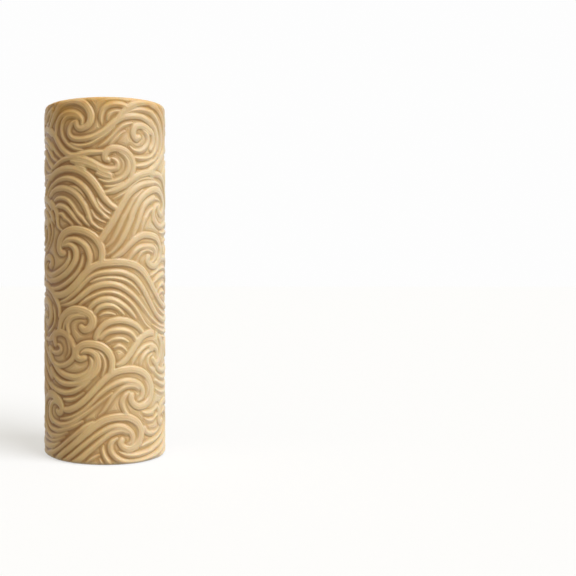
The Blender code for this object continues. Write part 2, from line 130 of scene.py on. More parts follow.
def grained_finish(name, clean, worn, patch, grain, rough, rough_spread, bump, bump_depth):
    """A finish whose colour, roughness and fine bump come from the grain group."""
    finish = bpy.data.materials.new(name)
    finish.use_nodes = True
    tree = finish.node_tree
    group = tree.nodes.new("ShaderNodeGroup")
    group.name = "grain"
    group.node_tree = grain_group
    tones = {"Clean": (*clean, 1), "Worn": (*worn, 1), "Roughness": rough, "Roughness Spread": rough_spread}
    fill_sockets(tree, group, {"Patch Size": patch, "Grain Size": grain, **tones})
    pits = tree.nodes.new("ShaderNodeBump")
    pits.name = "pits"
    fill_sockets(tree, pits, {"Strength": bump, "Distance": bump_depth, "Height": group.outputs["Height"]})
    shader = tree.nodes["Principled BSDF"]
    fill_sockets(tree, shader, {"Base Color": group.outputs["Color"], "Normal": pits.outputs["Normal"]})
    fill_sockets(tree, shader, {"Roughness": group.outputs["Roughness"]})
    return finish


def cover(node_name, finish):
    """Puts a finish on every material slot of a CAD node."""
    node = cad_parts[node_name]
    for place in node.material_slots:
        place.material = finish
    if not node.material_slots:
        node.data.materials.append(finish)


pipe_finish = grained_finish(
    "sawn_pipe",
    pipe_colour,
    pipe_grime,
    patch=45,
    grain=1600,
    rough=0.48,
    rough_spread=0.15,
    bump=0.25,
    bump_depth=0.04 * MM,
)
cover("core_tube", pipe_finish)

# The texture sleeve: tan, slightly translucent resin, cast round the tube in a soft mould, with rounded
# waves. They are drawn on a sheet of squares, 150 to its length and 166.5 round it: u runs from the front
# to the viewer's right, and v up. A rib is a line of (u, v) points, some with the rib's breadth there.
low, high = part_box("texture_sleeve")
box_clearance = 0.01 * MM
sleeve_radius = min(high.x, high.y, -low.x, -low.y) - box_clearance
sleeve_length = high.z - low.z
sheet_length = 150
sheet_girth = 166.5
square = sleeve_length / sheet_length
rim_round = 2 * MM
bore_radius = 20.3 * MM
bore_chamfer = 0.5 * MM
relief_depth = 0.78 * MM

# How a drawn rib turns into a cast one: breadths in squares, shares of the depth or of half a breadth.
rib_swell = 1.12
rib_spread = 0.2
least_breadth = 0.2
rib_slope = 0.3
side_share = 0.35
crown_share = 0.09
thin_rib_share = 0.2
broad_rib_share = 0.9
groove_floor = 0.25
groove_bank = 1.1
ground_share = 0.7

wave_ribs = [
    # the largest spiral, under the upper rim
    [(-30, 137.6, 1.2), (-28.3, 140.2, 1.6), (-26.5, 142.6), (-24, 145.3), (-20.5, 147.7, 2.6),
     (-16.5, 148.8), (-12.5, 148.7, 2.8), (-9, 147.1), (-6.7, 144.5), (-5.9, 141.5, 2.7), (-6.8, 138.8),
     (-9, 137.3, 2), (-11, 137.2), (-12.3, 138.3), (-12.4, 139.6, 1.7)],
    [(-23.8, 135.8, .7), (-24, 138, 1.3), (-23, 141), (-20.5, 143.2), (-17, 144.2, 1.5), (-13.5, 143.9),
     (-11, 142.4, 1.5), (-9.8, 140.5), (-9.9, 139, 1)],
    [(-9.8, 128.4, .5), (-12.5, 128.9, .9), (-15.5, 130.3), (-18, 132.4), (-19.8, 135, 1.2), (-20.3, 138),
     (-19.2, 141, 1.4), (-16.7, 142.6), (-13.5, 142.5), (-11.3, 141.6, 1.2)],
    [(-12.3, 140.6, .7), (-14.2, 139.8, 1.2), (-15.8, 138), (-16.2, 135.8, 1.5), (-14.8, 133.8),
     (-12, 132.9, 1.7), (-8.5, 132.9), (-4.5, 133.8), (-1, 135.7, 1.6), (2, 138), (5, 140.2, 2.3),
     (8, 141.6), (12, 142.3, 1.9), (16, 142.3), (20, 141.1, 2), (23, 139.5)],
    [(-15.3, 131.5, .5), (-12.5, 130.4, 1), (-9.5, 130.2), (-6, 130.9), (-2.5, 132.7, .9), (1, 135.1),
     (4, 138, .9)],
    [(-2.5, 129.5, .5), (0, 131, .9), (2.5, 133.3), (5, 136), (8, 138.3, 1), (12, 139.5, .4)],
    [(2.2, 130.5, .7), (4.5, 132.8, 1.1), (6.5, 134.8), (8.5, 136, .5)],
    [(-1.3, 138.5, .5), (-1.7, 141.5, 1.3), (-.8, 144.4), (1.5, 146.2, 1.7), (5, 146.8), (8, 146.4),
     (9.4, 145.8, 1.4)],
    [(1, 140.5, .7), (1.7, 142.5, 1.1), (3.8, 143.8), (6.3, 144.1, .6)],
    [(5.5, 141, 1.8), (7.5, 143.5), (10.5, 146, 2.3), (14.5, 147.8), (19, 148.6, 2.4), (23, 148.7)],
    [(7.8, 142.7, .5), (10.5, 144, .8), (14, 145, 1.3), (18, 145.2), (23, 144.6, 1.6)],
    # the rolled crest at its right
    [(15.1, 133.8, 1.7), (13.8, 133, 2.1), (12.6, 134), (12.3, 136, 2.4), (13.3, 137.9),
     (15.8, 138.6, 2.4), (19, 138.1), (21.5, 136.6)],
    [(17.3, 136.8, .7), (19.4, 135.5, 1.6), (20.3, 133.3), (19.6, 131, 1.7), (17.5, 129), (15, 128.1, 1.4),
     (12.5, 128.5), (10.8, 129.8, .6)],
    # the small spiral under it, and the rib that runs from it round to the left
    [(1.3, 124, 1.6), (.1, 124.6, 2), (.1, 126.4), (1.7, 128.2, 2.6), (4.8, 128.8), (8, 128.1, 2.3),
     (10.7, 126.3), (12.2, 123.8, 1.8), (12.5, 121), (11.8, 118.7, 1.4), (10.9, 117, .8)],
    [(5.5, 127.5, .7), (8, 126.2, 1.2), (9.7, 124), (10, 121, 1.7), (8.8, 118.3), (6.5, 116.4, 1.4),
     (3.5, 115.4), (.5, 115.2, 1.1), (-2.6, 116.3, .5)],
    [(2.8, 124.8, .7), (4.5, 124, 1.2), (5.4, 122.5), (4.9, 120.9, 1.6), (3, 120.3), (0, 120.6, 1.7),
     (-3, 121.9), (-6, 123.6), (-9, 124.9, 1.8), (-13, 125.6), (-17, 125.5, 1.5), (-21, 124.5),
     (-24.5, 123, 1.1), (-26.5, 122.3), (-28.5, 123.1, 1), (-31, 125.5)],
    [(.2, 113.3, .7), (3, 113.3, .9), (6, 114.2), (8, 115, .4)],
    [(-15, 124.1, .9), (-11, 123.4, 2.2), (-7.1, 122.4, 2.1), (-3.5, 120.9, 2.1), (-.5, 119.3, 2.2),
     (2.5, 118, 1.2)],
    [(-12.8, 122.2, .7), (-9.6, 121, 1.5), (-8.4, 120.4, .9)],
    [(-3.2, 118.6, 1.2), (0, 117.3, 1.3), (3, 116.8, .7)],
    # ribs that come down from the upper left
    [(-28, 138, 1.6), (-25.5, 136, 2), (-23, 133), (-20.5, 130, 2), (-17.5, 127.6), (-14.5, 126.5, 1.5),
     (-11, 126.7), (-7, 127.2, 1.8), (-3, 127.3), (-.9, 127.5, 1)],
    [(-28, 132.8, 1), (-26, 130.5), (-23.5, 128.2, 1.1), (-21.5, 126.6), (-20, 125.9, .5)],
    [(-28, 128.6, 1), (-26.5, 126.7), (-24.5, 125.4, .9), (-23, 124.9, .4)],
    # the broad arch at the left, and the ribs under it
    [(-28, 118.2, 2.2), (-25.5, 119.6), (-21.5, 120.8, 2.3), (-17, 121.2), (-12.5, 120.5, 2.3),
     (-8.5, 118.6), (-5, 115.5, 2.5), (-2.5, 112), (-.5, 108.8, 2.2), (2, 106.2), (4.3, 104.6, 1.5)],
    [(-28, 114.3, 1), (-25, 115.8), (-21.5, 116.9, 1.3), (-17, 117.2), (-13, 116.1), (-9.5, 113.6, 1.9),
     (-6.7, 110.3), (-4.8, 107, 1.6), (-3, 104.2), (-.5, 101.8, 1), (1.8, 100.2, .6)],
    [(-28, 111, 1.2), (-25.5, 112.6), (-22, 113.3, 1.8), (-18, 113), (-14, 111.4, 1.9), (-11, 108.8),
     (-8.5, 105.3, 1.8), (-7, 102), (-5.7, 98.7, 1.2)],
    [(-15.5, 113.9, .4), (-12.5, 112.9, .9), (-10, 110.8), (-8.7, 109, .4)],
    [(-3.5, 108.5, .4), (-2.3, 106, 1), (-.3, 103.8), (2, 102.3, .6)],
    [(-5.8, 103.7, .6), (-4.3, 101, .9)],
    [(-25.5, 108.3, .6), (-23, 109.2, 1.1), (-19.5, 109.2), (-16.5, 108), (-14, 105.5, 1.3), (-12, 102.7),
     (-10, 100.7, 1.3)],
    [(-24, 105.7, .9), (-21.5, 106.1, 1.6), (-18, 105.1), (-15.5, 103.1, 1.5), (-13.6, 101)],
    [(-22, 102.8, .7), (-19.9, 102.4, 1.3), (-18.5, 101)],
    [(-28, 107.8, 1.8), (-25.5, 105.8), (-23.6, 103.3, 2), (-23.1, 100.7, 1.8)],
    [(-28, 103.8, 1.3), (-26.6, 102), (-25.8, 100.3, 1.2)],
    # the crest that runs from the middle to the right, and the ribs under it
    [(.4, 110.9, 1.1), (4, 111.7, 1.8), (8, 113.6), (11.5, 116.2, 2.2), (15, 118.2), (19, 119.4, 2.3),
     (23, 120.2)],
    [(3.5, 108, .5), (6, 109.5, .8), (9, 111.2), (11.5, 113.4), (14.5, 115.7, .6), (18, 117),
     (23, 117.5, .8)],
    [(4.3, 101, 2.5), (6.4, 104.6), (8.6, 108.1, 2.3), (11.2, 111), (14.7, 113.4, 2), (18.4, 114.9),
     (23, 115.6, 1.6)],
    [(8.1, 101, 1.3), (10.3, 104.6), (12.3, 107.8, 1), (14.9, 110.3), (17.4, 112.3, .5)],
    [(11.5, 101, 1.9), (13.3, 104.6), (15.7, 108, 2), (18.6, 110.6), (22, 112.2, 2.2), (24, 112.7)],
    [(15.6, 101, 1.7), (17.3, 104.6), (19.5, 107, 1.9), (22, 108.5), (24, 109.3, 1.7)],
    [(19.1, 101, 1.3), (20.8, 103.4), (23, 105, 1)],
    # short ribs beside these waves, to the right and to the left
    [(13.3, 125.5, .6), (16, 125.2, 1.2), (20, 125.7), (23, 126.9, 1)],
    [(13.8, 122, .8), (17, 122.3, 1.4), (20, 123.2), (23, 124.7, 1.3)],
    [(-28.5, 147.2, .7), (-26.2, 147.8, .4)],
    [(-28.5, 144.4, .7), (-26.5, 146, .4)],
    # the large spiral half way up the front, to the left
    [(-19, 86.3, 2), (-20.6, 86.5, 2.4), (-21.9, 88.6, 3), (-21.4, 91.5), (-19.5, 93.9),
     (-16.3, 95.5, 2.8), (-12.5, 95.9), (-8.5, 95.1), (-5, 93.2), (-2.7, 90.7), (-1.4, 88, 2.6),
     (-1.2, 85.5), (-1.6, 82.6, 2.2)],
    [(-19.5, 89.3, .9), (-18.7, 90.8), (-16.5, 91.9, 1.5), (-13.5, 92), (-10.5, 91), (-8, 88.8),
     (-6.7, 86, 2), (-6.4, 83.5), (-7.3, 80.7), (-8, 79.3, 1.2)],
    [(-18.3, 89.5, .8), (-16, 89.9, 1.4), (-13.8, 88.8), (-12.6, 86.5, 2.1), (-13, 83.5), (-15, 80.5),
     (-18, 77.8, 1.9), (-21.5, 76), (-25, 75.1), (-28, 75, 1.6)],
    [(-16.2, 87, .6), (-15.9, 85, 1), (-16.6, 83), (-18.5, 80.8, 1.6), (-21.5, 79), (-25, 77.7, 1.7),
     (-28, 77.3), (-31, 78, 1.7), (-33.1, 79.4), (-33.1, 81.2), (-31.5, 82, 1)],
    [(-9.6, 85.5, .4), (-9.8, 83, 1), (-11, 80), (-13.5, 77), (-17, 74.3, 1.2), (-21, 72.4), (-25, 71.6),
     (-29, 71.9, 1)],
    # the long crest that crosses the front, with the ribs under it
    [(-28, 70.7, 1.6), (-25, 69.2), (-21, 69, 2.3), (-17, 70.3), (-13, 73.3), (-9.5, 77, 2.5), (-6, 80),
     (-2, 81.8), (2, 82.3, 2.7), (6, 82.5), (10, 82.1), (14, 80.9), (17.5, 78.6, 2.8), (20.5, 75.3),
     (23, 72.2, 2.6)],
    [(-21.3, 66, .6), (-18, 67, 1), (-15, 68.7), (-12, 71), (-9, 74, 1.1), (-6, 76.5), (-2.5, 78),
     (2, 78.6, 1.5), (7, 78.4), (11, 77), (14, 75.1, 1.9), (17, 71.9), (19.5, 68.5), (22, 65.2, 1.8)],
    [(-6, 74.3, .5), (-2.5, 75.6, 1), (2, 76.2), (7, 75.6), (10.5, 74.2, 1), (13.5, 72), (15.8, 69.5, .4)],
    [(-20.5, 64.7, .5), (-16.5, 65.3, 1), (-13, 66.7), (-9.5, 69.3, 1.7), (-5.5, 72), (-1, 73.5, 2),
     (3, 73.6), (7, 72.5), (11, 70, 1.5), (14.5, 67), (18, 63.3), (21, 60.3, 1), (23, 59)],
    [(-11, 65.2, .6), (-8, 67.2, 1), (-4.5, 69), (-.5, 70.3), (3.5, 70.2, 1), (7, 69), (10.5, 66.5),
     (13.5, 63.5, 1.2), (16.5, 59.5), (19, 56.7), (22, 55, .6)],
    [(-6.3, 64, 1.2), (-4.3, 66), (-1.5, 67.3, 1.8), (2, 67.5), (5.5, 66.3), (9, 64, 1.6), (11.8, 61.5),
     (13.5, 59.7, .7)],
    [(-4, 62.3, 1.1), (-2.5, 64), (.5, 65, 1.7), (3.5, 64.7), (6, 63.2), (8, 61.3, .7)],
    [(-2.3, 60.7, .5), (-.3, 61.7, .9), (2, 61.8), (4.2, 61.2, .5)],
    # nested arches below them
    [(-3.8, 51.8, 1.7), (-3, 54), (-1, 56.5), (2, 58.2, 2.2), (6, 58.9), (10, 58.3, 2.2), (13.5, 56.8),
     (16, 54.8), (17.5, 53.3, 1.1)],
    [(-1.8, 51.7, 1.2), (0, 53.5), (3, 54.7, 1.6), (7, 54.9), (10.5, 54), (12.6, 52.3), (13.5, 51, 1.2)],
    [(1, 50, .7), (4, 51.3, 1.1), (7.5, 51.3), (10, 50, .8)],
    # the spiral below the middle
    [(-10.2, 56, 2), (-9, 55, 2.4), (-7.2, 55.2), (-5.6, 56.8, 3), (-5.1, 59, 3.2), (-6.3, 61.3),
     (-9, 62.7), (-12.5, 63.3, 2.8), (-16, 62.6), (-19, 60.7), (-21, 58, 2), (-21.8, 55, 1.7)],
    [(-8.4, 60.4, .9), (-11, 60.8, 1.4), (-14, 60.1), (-16, 58.6), (-16.9, 56.3), (-16.3, 53.7, 1.4)],
    [(-12.8, 61.5, .4), (-15.5, 60.5, .9), (-17.5, 58.8), (-18.8, 56.7), (-19.2, 54.8, .9)],
    # ribs between these waves and those of the left side
    [(-27, 70, 1.5), (-24.2, 67.5, 1.8), (-22.3, 65), (-21.5, 62.5), (-21.9, 60.3, 1)],
    [(-26.5, 64.8, .4), (-25.3, 62.8, 1), (-24.8, 60), (-25.3, 57.5), (-26.8, 55.3), (-29, 53.8, .9),
     (-31.5, 53, .4)],
    [(-25, 54.3, .7), (-26.5, 52.5), (-28.5, 51, 1.4)],
    [(-29.3, 101, 1), (-27.7, 98.8), (-26.8, 96.5, 1.1), (-26.9, 94), (-28, 91.5), (-30, 89.3),
     (-33, 87.5), (-37, 85.9), (-41.5, 85.5, .7)],
    [(-27.6, 101, 1), (-26.2, 99.9), (-25.3, 98.7, .6)],
    [(-23.3, 101, 1.6), (-22.9, 99), (-22.6, 97.7, 1.2), (-21.5, 96.6), (-20, 95.7, .6)],
    # ribs that come down from the upper third
    [(-18.7, 101, 1.3), (-16.5, 99.8), (-14.4, 97.9, .6)],
    [(-13.6, 101, 1.3), (-12, 99.3), (-10.3, 97.8, .6)],
    [(-10, 101, 1.3), (-8.4, 99), (-6.8, 97.4, .6)],
    [(-7.3, 101, 1.2), (-5.5, 98.6), (-3, 96.6), (-.5, 95.7, .7)],
    [(-4.3, 101, .9), (-2.5, 99.7), (0, 98.7, .5)],
    [(-.5, 101, .9), (1.5, 100, .5)],
    [(4.3, 101, 2.5), (2.1, 97.4), (-.3, 93.9), (-1.6, 92, 2.2)],
    [(8, 101, 1.4), (6.3, 97.3), (4.6, 93.9, 1.2), (2.8, 91), (.5, 88.9, .6)],
    [(11.8, 101, 1.9), (10.2, 97.4), (8.4, 93.9, 1.7), (6.2, 90.3), (3.2, 87), (.9, 85.4, .6)],
    [(15.7, 101, 1.7), (14.1, 97.4), (12.4, 93.9, 1), (11.6, 92.3, .5)],
    [(18.8, 101, 1.4), (17, 97.4), (16.4, 95, .5)],
    # the crest at the right
    [(3.5, 84.3, 1), (7, 86.4, 1.9), (10, 89.2), (13.5, 92), (17, 93.6, 2.4), (20, 93.8), (23, 93.5, 2.4)],
    [(10.5, 84, .9), (12.5, 86.4, 1.4), (15.5, 88.4), (19, 89.1, 1.6), (23, 88.9)],
    [(14.2, 82.7, .6), (15.3, 85), (17.3, 86.9, 1), (20, 87.5), (23, 86.7, 1)],
    # the small closed spiral at the left
    [(-24.4, 48.4, 1.7), (-25.1, 50, 2.1), (-24.9, 52), (-23, 53.3, 2.3), (-20, 53.5), (-17, 52.3, 2.2),
     (-14.8, 50), (-13.6, 47, 1.6), (-13.8, 44), (-15.5, 41.8), (-18.5, 40.2, 1.5), (-22, 39.7),
     (-25, 40.4, 1.3)],
    [(-17.3, 51, .5), (-16.2, 49, 1), (-15.9, 46.5), (-16.5, 44.5), (-17.5, 43.3, .4)],
    [(-22.8, 48.4, .7), (-21.5, 48.2, 1.1), (-20.5, 47), (-21, 45.7, 1.4), (-23, 44.9), (-25.5, 45, 1.3),
     (-28.5, 46, 1)],
    # the spiral with three broad ribs that sweep in from the left
    [(-8.7, 43.6, 1.8), (-10.3, 43, 2.2), (-12, 43.6), (-12.5, 45.5, 2.2), (-11.5, 47.5), (-9, 48.9, 2.6),
     (-5.5, 49.3), (-2, 48.5, 2.8), (.8, 46.6), (2.6, 43.7, 2.5), (3, 40.5), (2.4, 37.5, 1.7)],
    [(-29, 45.2, 1.4), (-28, 43.5), (-26, 40.9, 1.6), (-23.5, 38.5), (-20.5, 36.8, 1.9), (-17, 35.7),
     (-13, 35.4, 2.1), (-9.5, 36.3), (-6.8, 38.2, 1.8), (-5.6, 40.5), (-5.6, 42.5, 1.2), (-6.4, 43.8, .6)],
    [(-28, 38, 1.5), (-26, 36), (-23, 34, 1.7), (-19.5, 32.7), (-15.5, 32.5, 1.7), (-11.5, 33.2),
     (-8, 34.8, 2.2), (-5, 37), (-3.3, 40, 2.8), (-3.1, 43), (-4.4, 45.2, 2.2), (-6.7, 46.3),
     (-8.8, 46.1, 1.4), (-10.2, 45.4, .8)],
    [(-28, 31.6, 1.2), (-25, 30), (-21, 29, 1.6), (-17, 28.9), (-13, 30, 1.5), (-9.5, 32), (-6.5, 34.5, 1)],
    [(-4, 46.7, .3), (-2, 45.5, .8), (-.5, 43.5), (0, 41, 1), (-.4, 38.5), (-1.2, 36.3, .5)],
    [(-19, 26, .7), (-16, 26, 1.1), (-12.5, 27), (-9, 29.3, .4)],
    [(3.7, 47.7, .6), (5.5, 48.5, 1.1), (7.5, 48), (9.1, 46.5, .8)],
    # the crest with the open spiral at the lower right of the front, and the ribs under it
    [(-18, 21.7, 1.8), (-15.5, 22, 2.1), (-12, 23.7), (-8.5, 26.5, 2), (-5, 30), (-2, 33.1, 2), (1, 35.8),
     (4.5, 37.8, 2.4), (8, 38.6), (12, 38.7, 2.7), (16, 37.7), (19.5, 35.4, 2.7), (21.8, 32.3),
     (22.4, 29, 2.8), (21.3, 25.8), (18.5, 23.7, 2.5), (15, 23.2), (12.5, 24.5, 2.3), (11.3, 26.5),
     (11.6, 28.1, 2)],
    [(18.2, 33.8, .3), (19.8, 31.5, 1), (19.9, 28.8), (18.5, 26.3, .4)],
    [(-21, 17.6, .5), (-17, 18.3, .9), (-13, 19.8), (-9.5, 22, .9), (-6, 25), (-2.5, 28.6, 1.1), (1, 31.3),
     (5, 33.3, 1.6), (9, 34.1), (13, 33.4, 2), (16, 31.7), (17.3, 29.2, 1.9), (16.5, 26.8),
     (14.8, 25.8, .9)],
    [(-2.7, 20, .4), (-.3, 22.6, .9), (2, 26), (4.5, 29, 1.1), (7.5, 31.1), (10.5, 32, 1.6), (13.5, 31.5),
     (15, 30.5, 1)],
    [(10.5, 29.6, .6), (8.5, 28, 1.3), (7.3, 25.5, 1.7), (8, 22.7), (9.3, 20.8, 1.3)],
    # the spiral at the lower left, whose inner rib runs on to the right
    [(-30.5, 27, 2.6), (-28, 27.2, 2.8), (-25, 26.8), (-22, 25.2, 2.8), (-20.3, 22.8), (-20.5, 20.7, 2),
     (-21.9, 20), (-23, 20.6, 1.7)],
    [(-21.4, 22.6, .6), (-22.8, 24, 1.2), (-25.3, 24.4), (-27.6, 23.1, 1.5), (-28.6, 20.5), (-28, 18, 1.5),
     (-26, 16.3), (-22, 15.4, 1.5), (-18, 15.7), (-14, 17.2, 1.4), (-10.1, 19.6), (-5.9, 22.6, 1),
     (-1.6, 26), (3, 29.3, .5)],
    # the lowest crest, with its spiral, and the ribs under it
    [(-28, -3, 1.8), (-24.4, -.2), (-20.9, 2.6, 1.8), (-17.3, 5.2), (-13.7, 8, 1.9), (-10.9, 10.3),
     (-8, 12.8, 2.4), (-5, 15.2), (-2, 17.4, 2.8), (1.5, 18.9), (5, 19.4, 2.9), (9, 19.3),
     (12.2, 18.2, 2.8), (15, 15.9), (16.3, 12.8, 2.9), (15.7, 9.6), (13.5, 7.1, 2.9), (10.5, 6.2),
     (7.8, 7.1, 2.2), (6.5, 8.8), (7.2, 10, 1.8)],
    [(-28, 2.4, 1.6), (-24.4, 3.9), (-20.9, 6, 1.1), (-17.3, 8.7), (-13.7, 11.4, 1.2), (-10.5, 13.9),
     (-8, 15.7, 1.5), (-5, 17.5, .9)],
    [(-28, 10, 1.5), (-24, 10.3, 1.3), (-20.7, 11), (-17, 12.4, .6)],
    [(-28, 13, 1.2), (-24, 12.6, 1.3), (-20.7, 13, 1.3), (-14.5, 15, 1.2), (-9.5, 17.6, .7)],
    [(-28, 5.4, 1.7), (-25, 6.2, 1.2), (-21.5, 7.8, .5)],
    [(-31.2, 8, .6), (-27, 7.9, .9), (-22, 9, .8), (-18.5, 10.4, .4)],
    [(-20.9, -1, 1.4), (-17.3, 1.4), (-13.7, 4.2, 1.3), (-10.1, 7.1), (-6.6, 9.9, 1.3), (-3, 12.5),
     (.6, 14.6, 1.5), (4.1, 15.7), (7.7, 15.3, 2), (10.6, 13.6), (12.1, 11.1, 2), (11.6, 9),
     (10.2, 8.4, .8)],
    [(-14.7, -.6, 2), (-10.9, 2.1), (-7.6, 4.9, 1.7), (-4.4, 7.6), (-1.6, 9.9, 1.5), (1.3, 12.1),
     (4.1, 13.4, 1.6), (7, 13.8), (9.5, 12.9, 1.1)],
    [(-8, .8, .5), (-5, 3, 1), (-2.3, 4.4, .4)],
    [(-.7, 8, .4), (-.9, 6, 1.1), (0, 3.4), (1.6, 1, 1.5), (3, -1)],
    [(-2.2, 2.5, .5), (-1, 0, 1)],
    [(5.2, 11, .6), (3, 9.6, 1.4), (2.2, 7.5, 1.8), (3, 4.8), (5.5, 2.4, 1.7), (9, .9), (13, .5, 1.4),
     (18, 1), (23, 1.9, 1.5)],
    [(6, 5.3, .4), (9, 4, 1.2), (13, 3.5, 1.4), (18, 3.9), (23, 4.7, 1.5)],
    [(16.3, 6.8, .6), (19.5, 7.7, 1.3), (23, 8.3, 1.5)],
    [(18.3, 14.2, 1.3), (19, 12.6, 1.6), (21, 11.6), (23, 11.3, 1.6)],
    [(18, 18.2, .4), (20.5, 17, 1.1), (23, 16.9, 1.2)],
    [(17, 20.9, .7), (19.5, 20.1, 1.6), (23, 20, 1.9)],
    # the crest that rises to the right above the open spiral, and its inner ribs
    [(5.5, 40.7, 1.2), (8, 42.1, 2), (10.6, 44.8), (13, 47.8, 2.2), (15.5, 50.6), (18, 52.4, 2.3),
     (21, 53.2), (23, 53.2, 2.4)],
    [(11.5, 40.5, .5), (12.7, 42.8, 1.1), (15, 45.4), (18, 47.5, 1.3), (21, 48.3), (23, 48.2, 1.3)],
    [(16, 40.5, .7), (16.8, 42.6, 1.3), (18.5, 44.5), (21, 45.9), (23, 46.1, 1.1)],
    [(23, 37.3, .9), (21, 39.2), (20, 41.4, .9), (21, 43.5), (23, 44.3, .7)],
    # the upper third of the left side
    [(-76.9, 146.9, 1.4), (-74.8, 148), (-71.6, 148.9, 2.1), (-68.4, 149), (-65.1, 148.5), (-62.3, 147.3),
     (-59.4, 145.5, 2.2), (-56.9, 143.1), (-54.4, 140.8, 2), (-51.9, 139.4), (-49.4, 139.2, 1.7),
     (-46.9, 140.3), (-45.3, 142.1, 1.9), (-45.5, 144), (-47.3, 145.1, 1.1), (-49.1, 144.8, 0.6)],
    [(-76.8, 143.3, 1.1), (-74.4, 144.6), (-71.6, 145.1, 1.7), (-68.4, 145.2), (-65.5, 144.6),
     (-62.6, 143.3, 1.8), (-59.8, 141.2), (-57.6, 139), (-55.1, 137.3, 1.8), (-52.3, 136),
     (-49.1, 135.5, 1.3), (-45.9, 135.7), (-43, 137.1, 1.8), (-41.2, 139.2), (-40.3, 141.7, 2.7),
     (-40.5, 144.2), (-41.9, 146.4, 2.9), (-44.1, 147.6), (-46.6, 147.8, 2.8), (-49.1, 147.1),
     (-50.7, 145.5, 2.2), (-50.7, 143.7), (-49.3, 142.4, 1.3)],
    [(-53, 136.9, 0.6), (-50.1, 136.9), (-47.3, 137.4, 1), (-45.1, 138.7), (-43.7, 140.6, 0.5)],
    [(-76.8, 139.4, 0.8), (-75.1, 140.3), (-72.6, 141.3, 1.1), (-69.8, 141.7), (-66.6, 141.2),
     (-63.7, 139.9, 1.1), (-60.9, 138), (-58, 136, 0.9), (-55.1, 134.9, 0.5)],
    [(-75.9, 138.3, 1.2), (-72.6, 138.9), (-69.4, 139, 1.6), (-66.6, 138.1), (-63.7, 136.7),
     (-61.6, 135.3, 1.4), (-59.6, 134, 1)],
    [(-76.6, 130.3, 1.3), (-75.1, 131.9), (-72.6, 133.3, 2), (-69.4, 134), (-65.9, 134.1), (-62.6, 133.9),
     (-59.4, 133, 2), (-56.6, 131.4), (-54.1, 129, 1.8), (-51.9, 126.4), (-49.8, 123.3, 1.8),
     (-47.6, 120.6), (-45.1, 118.5, 1.8), (-41.9, 116.9), (-38.4, 115.8, 1), (-34.4, 115.2, 0.5)],
    [(-58.7, 133.5, 1.2), (-55.1, 133.5, 1.7), (-52.3, 132.6), (-49.1, 131.2, 1.8), (-46.6, 129.8),
     (-44.1, 127.6, 2), (-41.9, 125.3), (-39.4, 122.6, 2), (-36.9, 120.6), (-34.1, 119.2, 1.6),
     (-30.9, 118.9), (-27, 119.2, 1.4)],
    [(-52.5, 133, 0.8), (-50.7, 132.8), (-48.4, 132.8, 1.1), (-45.1, 133.7), (-42.3, 134.9, 1.3),
     (-39.4, 135.6), (-36.2, 135.6, 1.8), (-33, 134.8), (-30.1, 133.1), (-27, 130.6, 1.8)],
    [(-51.2, 129.2, 0.5), (-48.7, 127.3), (-46.6, 124.9, 1), (-44.4, 122.6), (-42.8, 121.2, 0.5)],
    [(-41, 132.4, 0.7), (-38.4, 132.8), (-35.5, 132.6, 1.1), (-32.6, 131.7), (-29.8, 129.8, 1.4),
     (-27, 127.1, 1.4)],
    [(-44.1, 129.4, 1), (-41.6, 129.8), (-39.1, 130.1, 1.9), (-36.2, 129.8), (-33.7, 128.5, 1.8),
     (-31.6, 126.5), (-29.4, 124.6), (-27, 123.1, 1.4)],
    [(-41, 126.4, 1), (-39.1, 126.5), (-36.9, 125.8, 1.6), (-34.8, 124), (-32.6, 122.3, 1.4),
     (-30.1, 121.2), (-27.6, 121, 0.7)],
    [(-76.2, 124.6, 0.6), (-76, 126.7), (-74.8, 128.3, 1.4), (-72.6, 129.8), (-69.4, 130.6, 1.8),
     (-65.9, 130.5), (-63, 129.9), (-60.1, 128.3, 1.8), (-57.6, 126.2), (-55.9, 123.5, 2), (-53.7, 120.6),
     (-51.6, 117.8, 2), (-49.1, 115.5), (-45.9, 113.5, 1.7), (-42.3, 112.3), (-38.7, 111.8, 0.6)],
    [(-75.3, 122.4, 0.7), (-74.4, 124.6), (-72.6, 126.4, 1.1), (-69.8, 127.5), (-66.6, 127.5, 1.1),
     (-63.4, 126.9), (-60.5, 125.8, 0.5)],
    [(-74.8, 121.5, 0.8), (-72.3, 123.5), (-69.4, 124.9, 1.5), (-66.2, 125.2), (-63, 124.4),
     (-60.5, 122.8, 1.6), (-58, 121), (-55.9, 118.5, 1.3), (-53.4, 115.8), (-50.9, 113.7, 1.1),
     (-48, 111.9), (-45.1, 110.6, 0.5)],
    [(-56.9, 118.9, 0.8), (-55.9, 116.4), (-54.1, 113.7, 1), (-51.9, 111.5), (-49.4, 109.8, 1.1),
     (-46.9, 109.1), (-44.4, 109.3, 0.6)],
    [(-46.9, 117.3, 1), (-44.8, 115.8), (-41.2, 114.4, 0.4)],
    [(-76.8, 119.2, 0.9), (-74.8, 120.6), (-72.3, 121.9, 1.1), (-69.1, 122.3), (-66.2, 122.1, 1)],
    [(-75, 117.4, 0.9), (-73, 119.2), (-70.5, 120.3, 1.8), (-67.3, 121), (-64.4, 120.5, 2.8),
     (-62.3, 118.7), (-61.2, 116.2, 3), (-61.4, 113.5), (-62.6, 111.9, 2.2), (-64.3, 111.3),
     (-65.7, 112.3, 1.2)],
    [(-74.1, 115.3, 0.9), (-72.3, 116.7), (-70.1, 117.4, 1), (-67.6, 117.3), (-65.5, 116.5, 0.4)],
    [(-64.3, 113.7, 0.7), (-64.6, 115.3), (-66.2, 115.8, 1.3), (-68.7, 115.5), (-71.2, 114.2, 1.6),
     (-73, 112.4), (-73.9, 109.9, 2), (-73.7, 107.1), (-72.3, 104.6, 1.6), (-70.1, 102.3),
     (-67.6, 100.6, 1), (-64.8, 99.2, 0.9)],
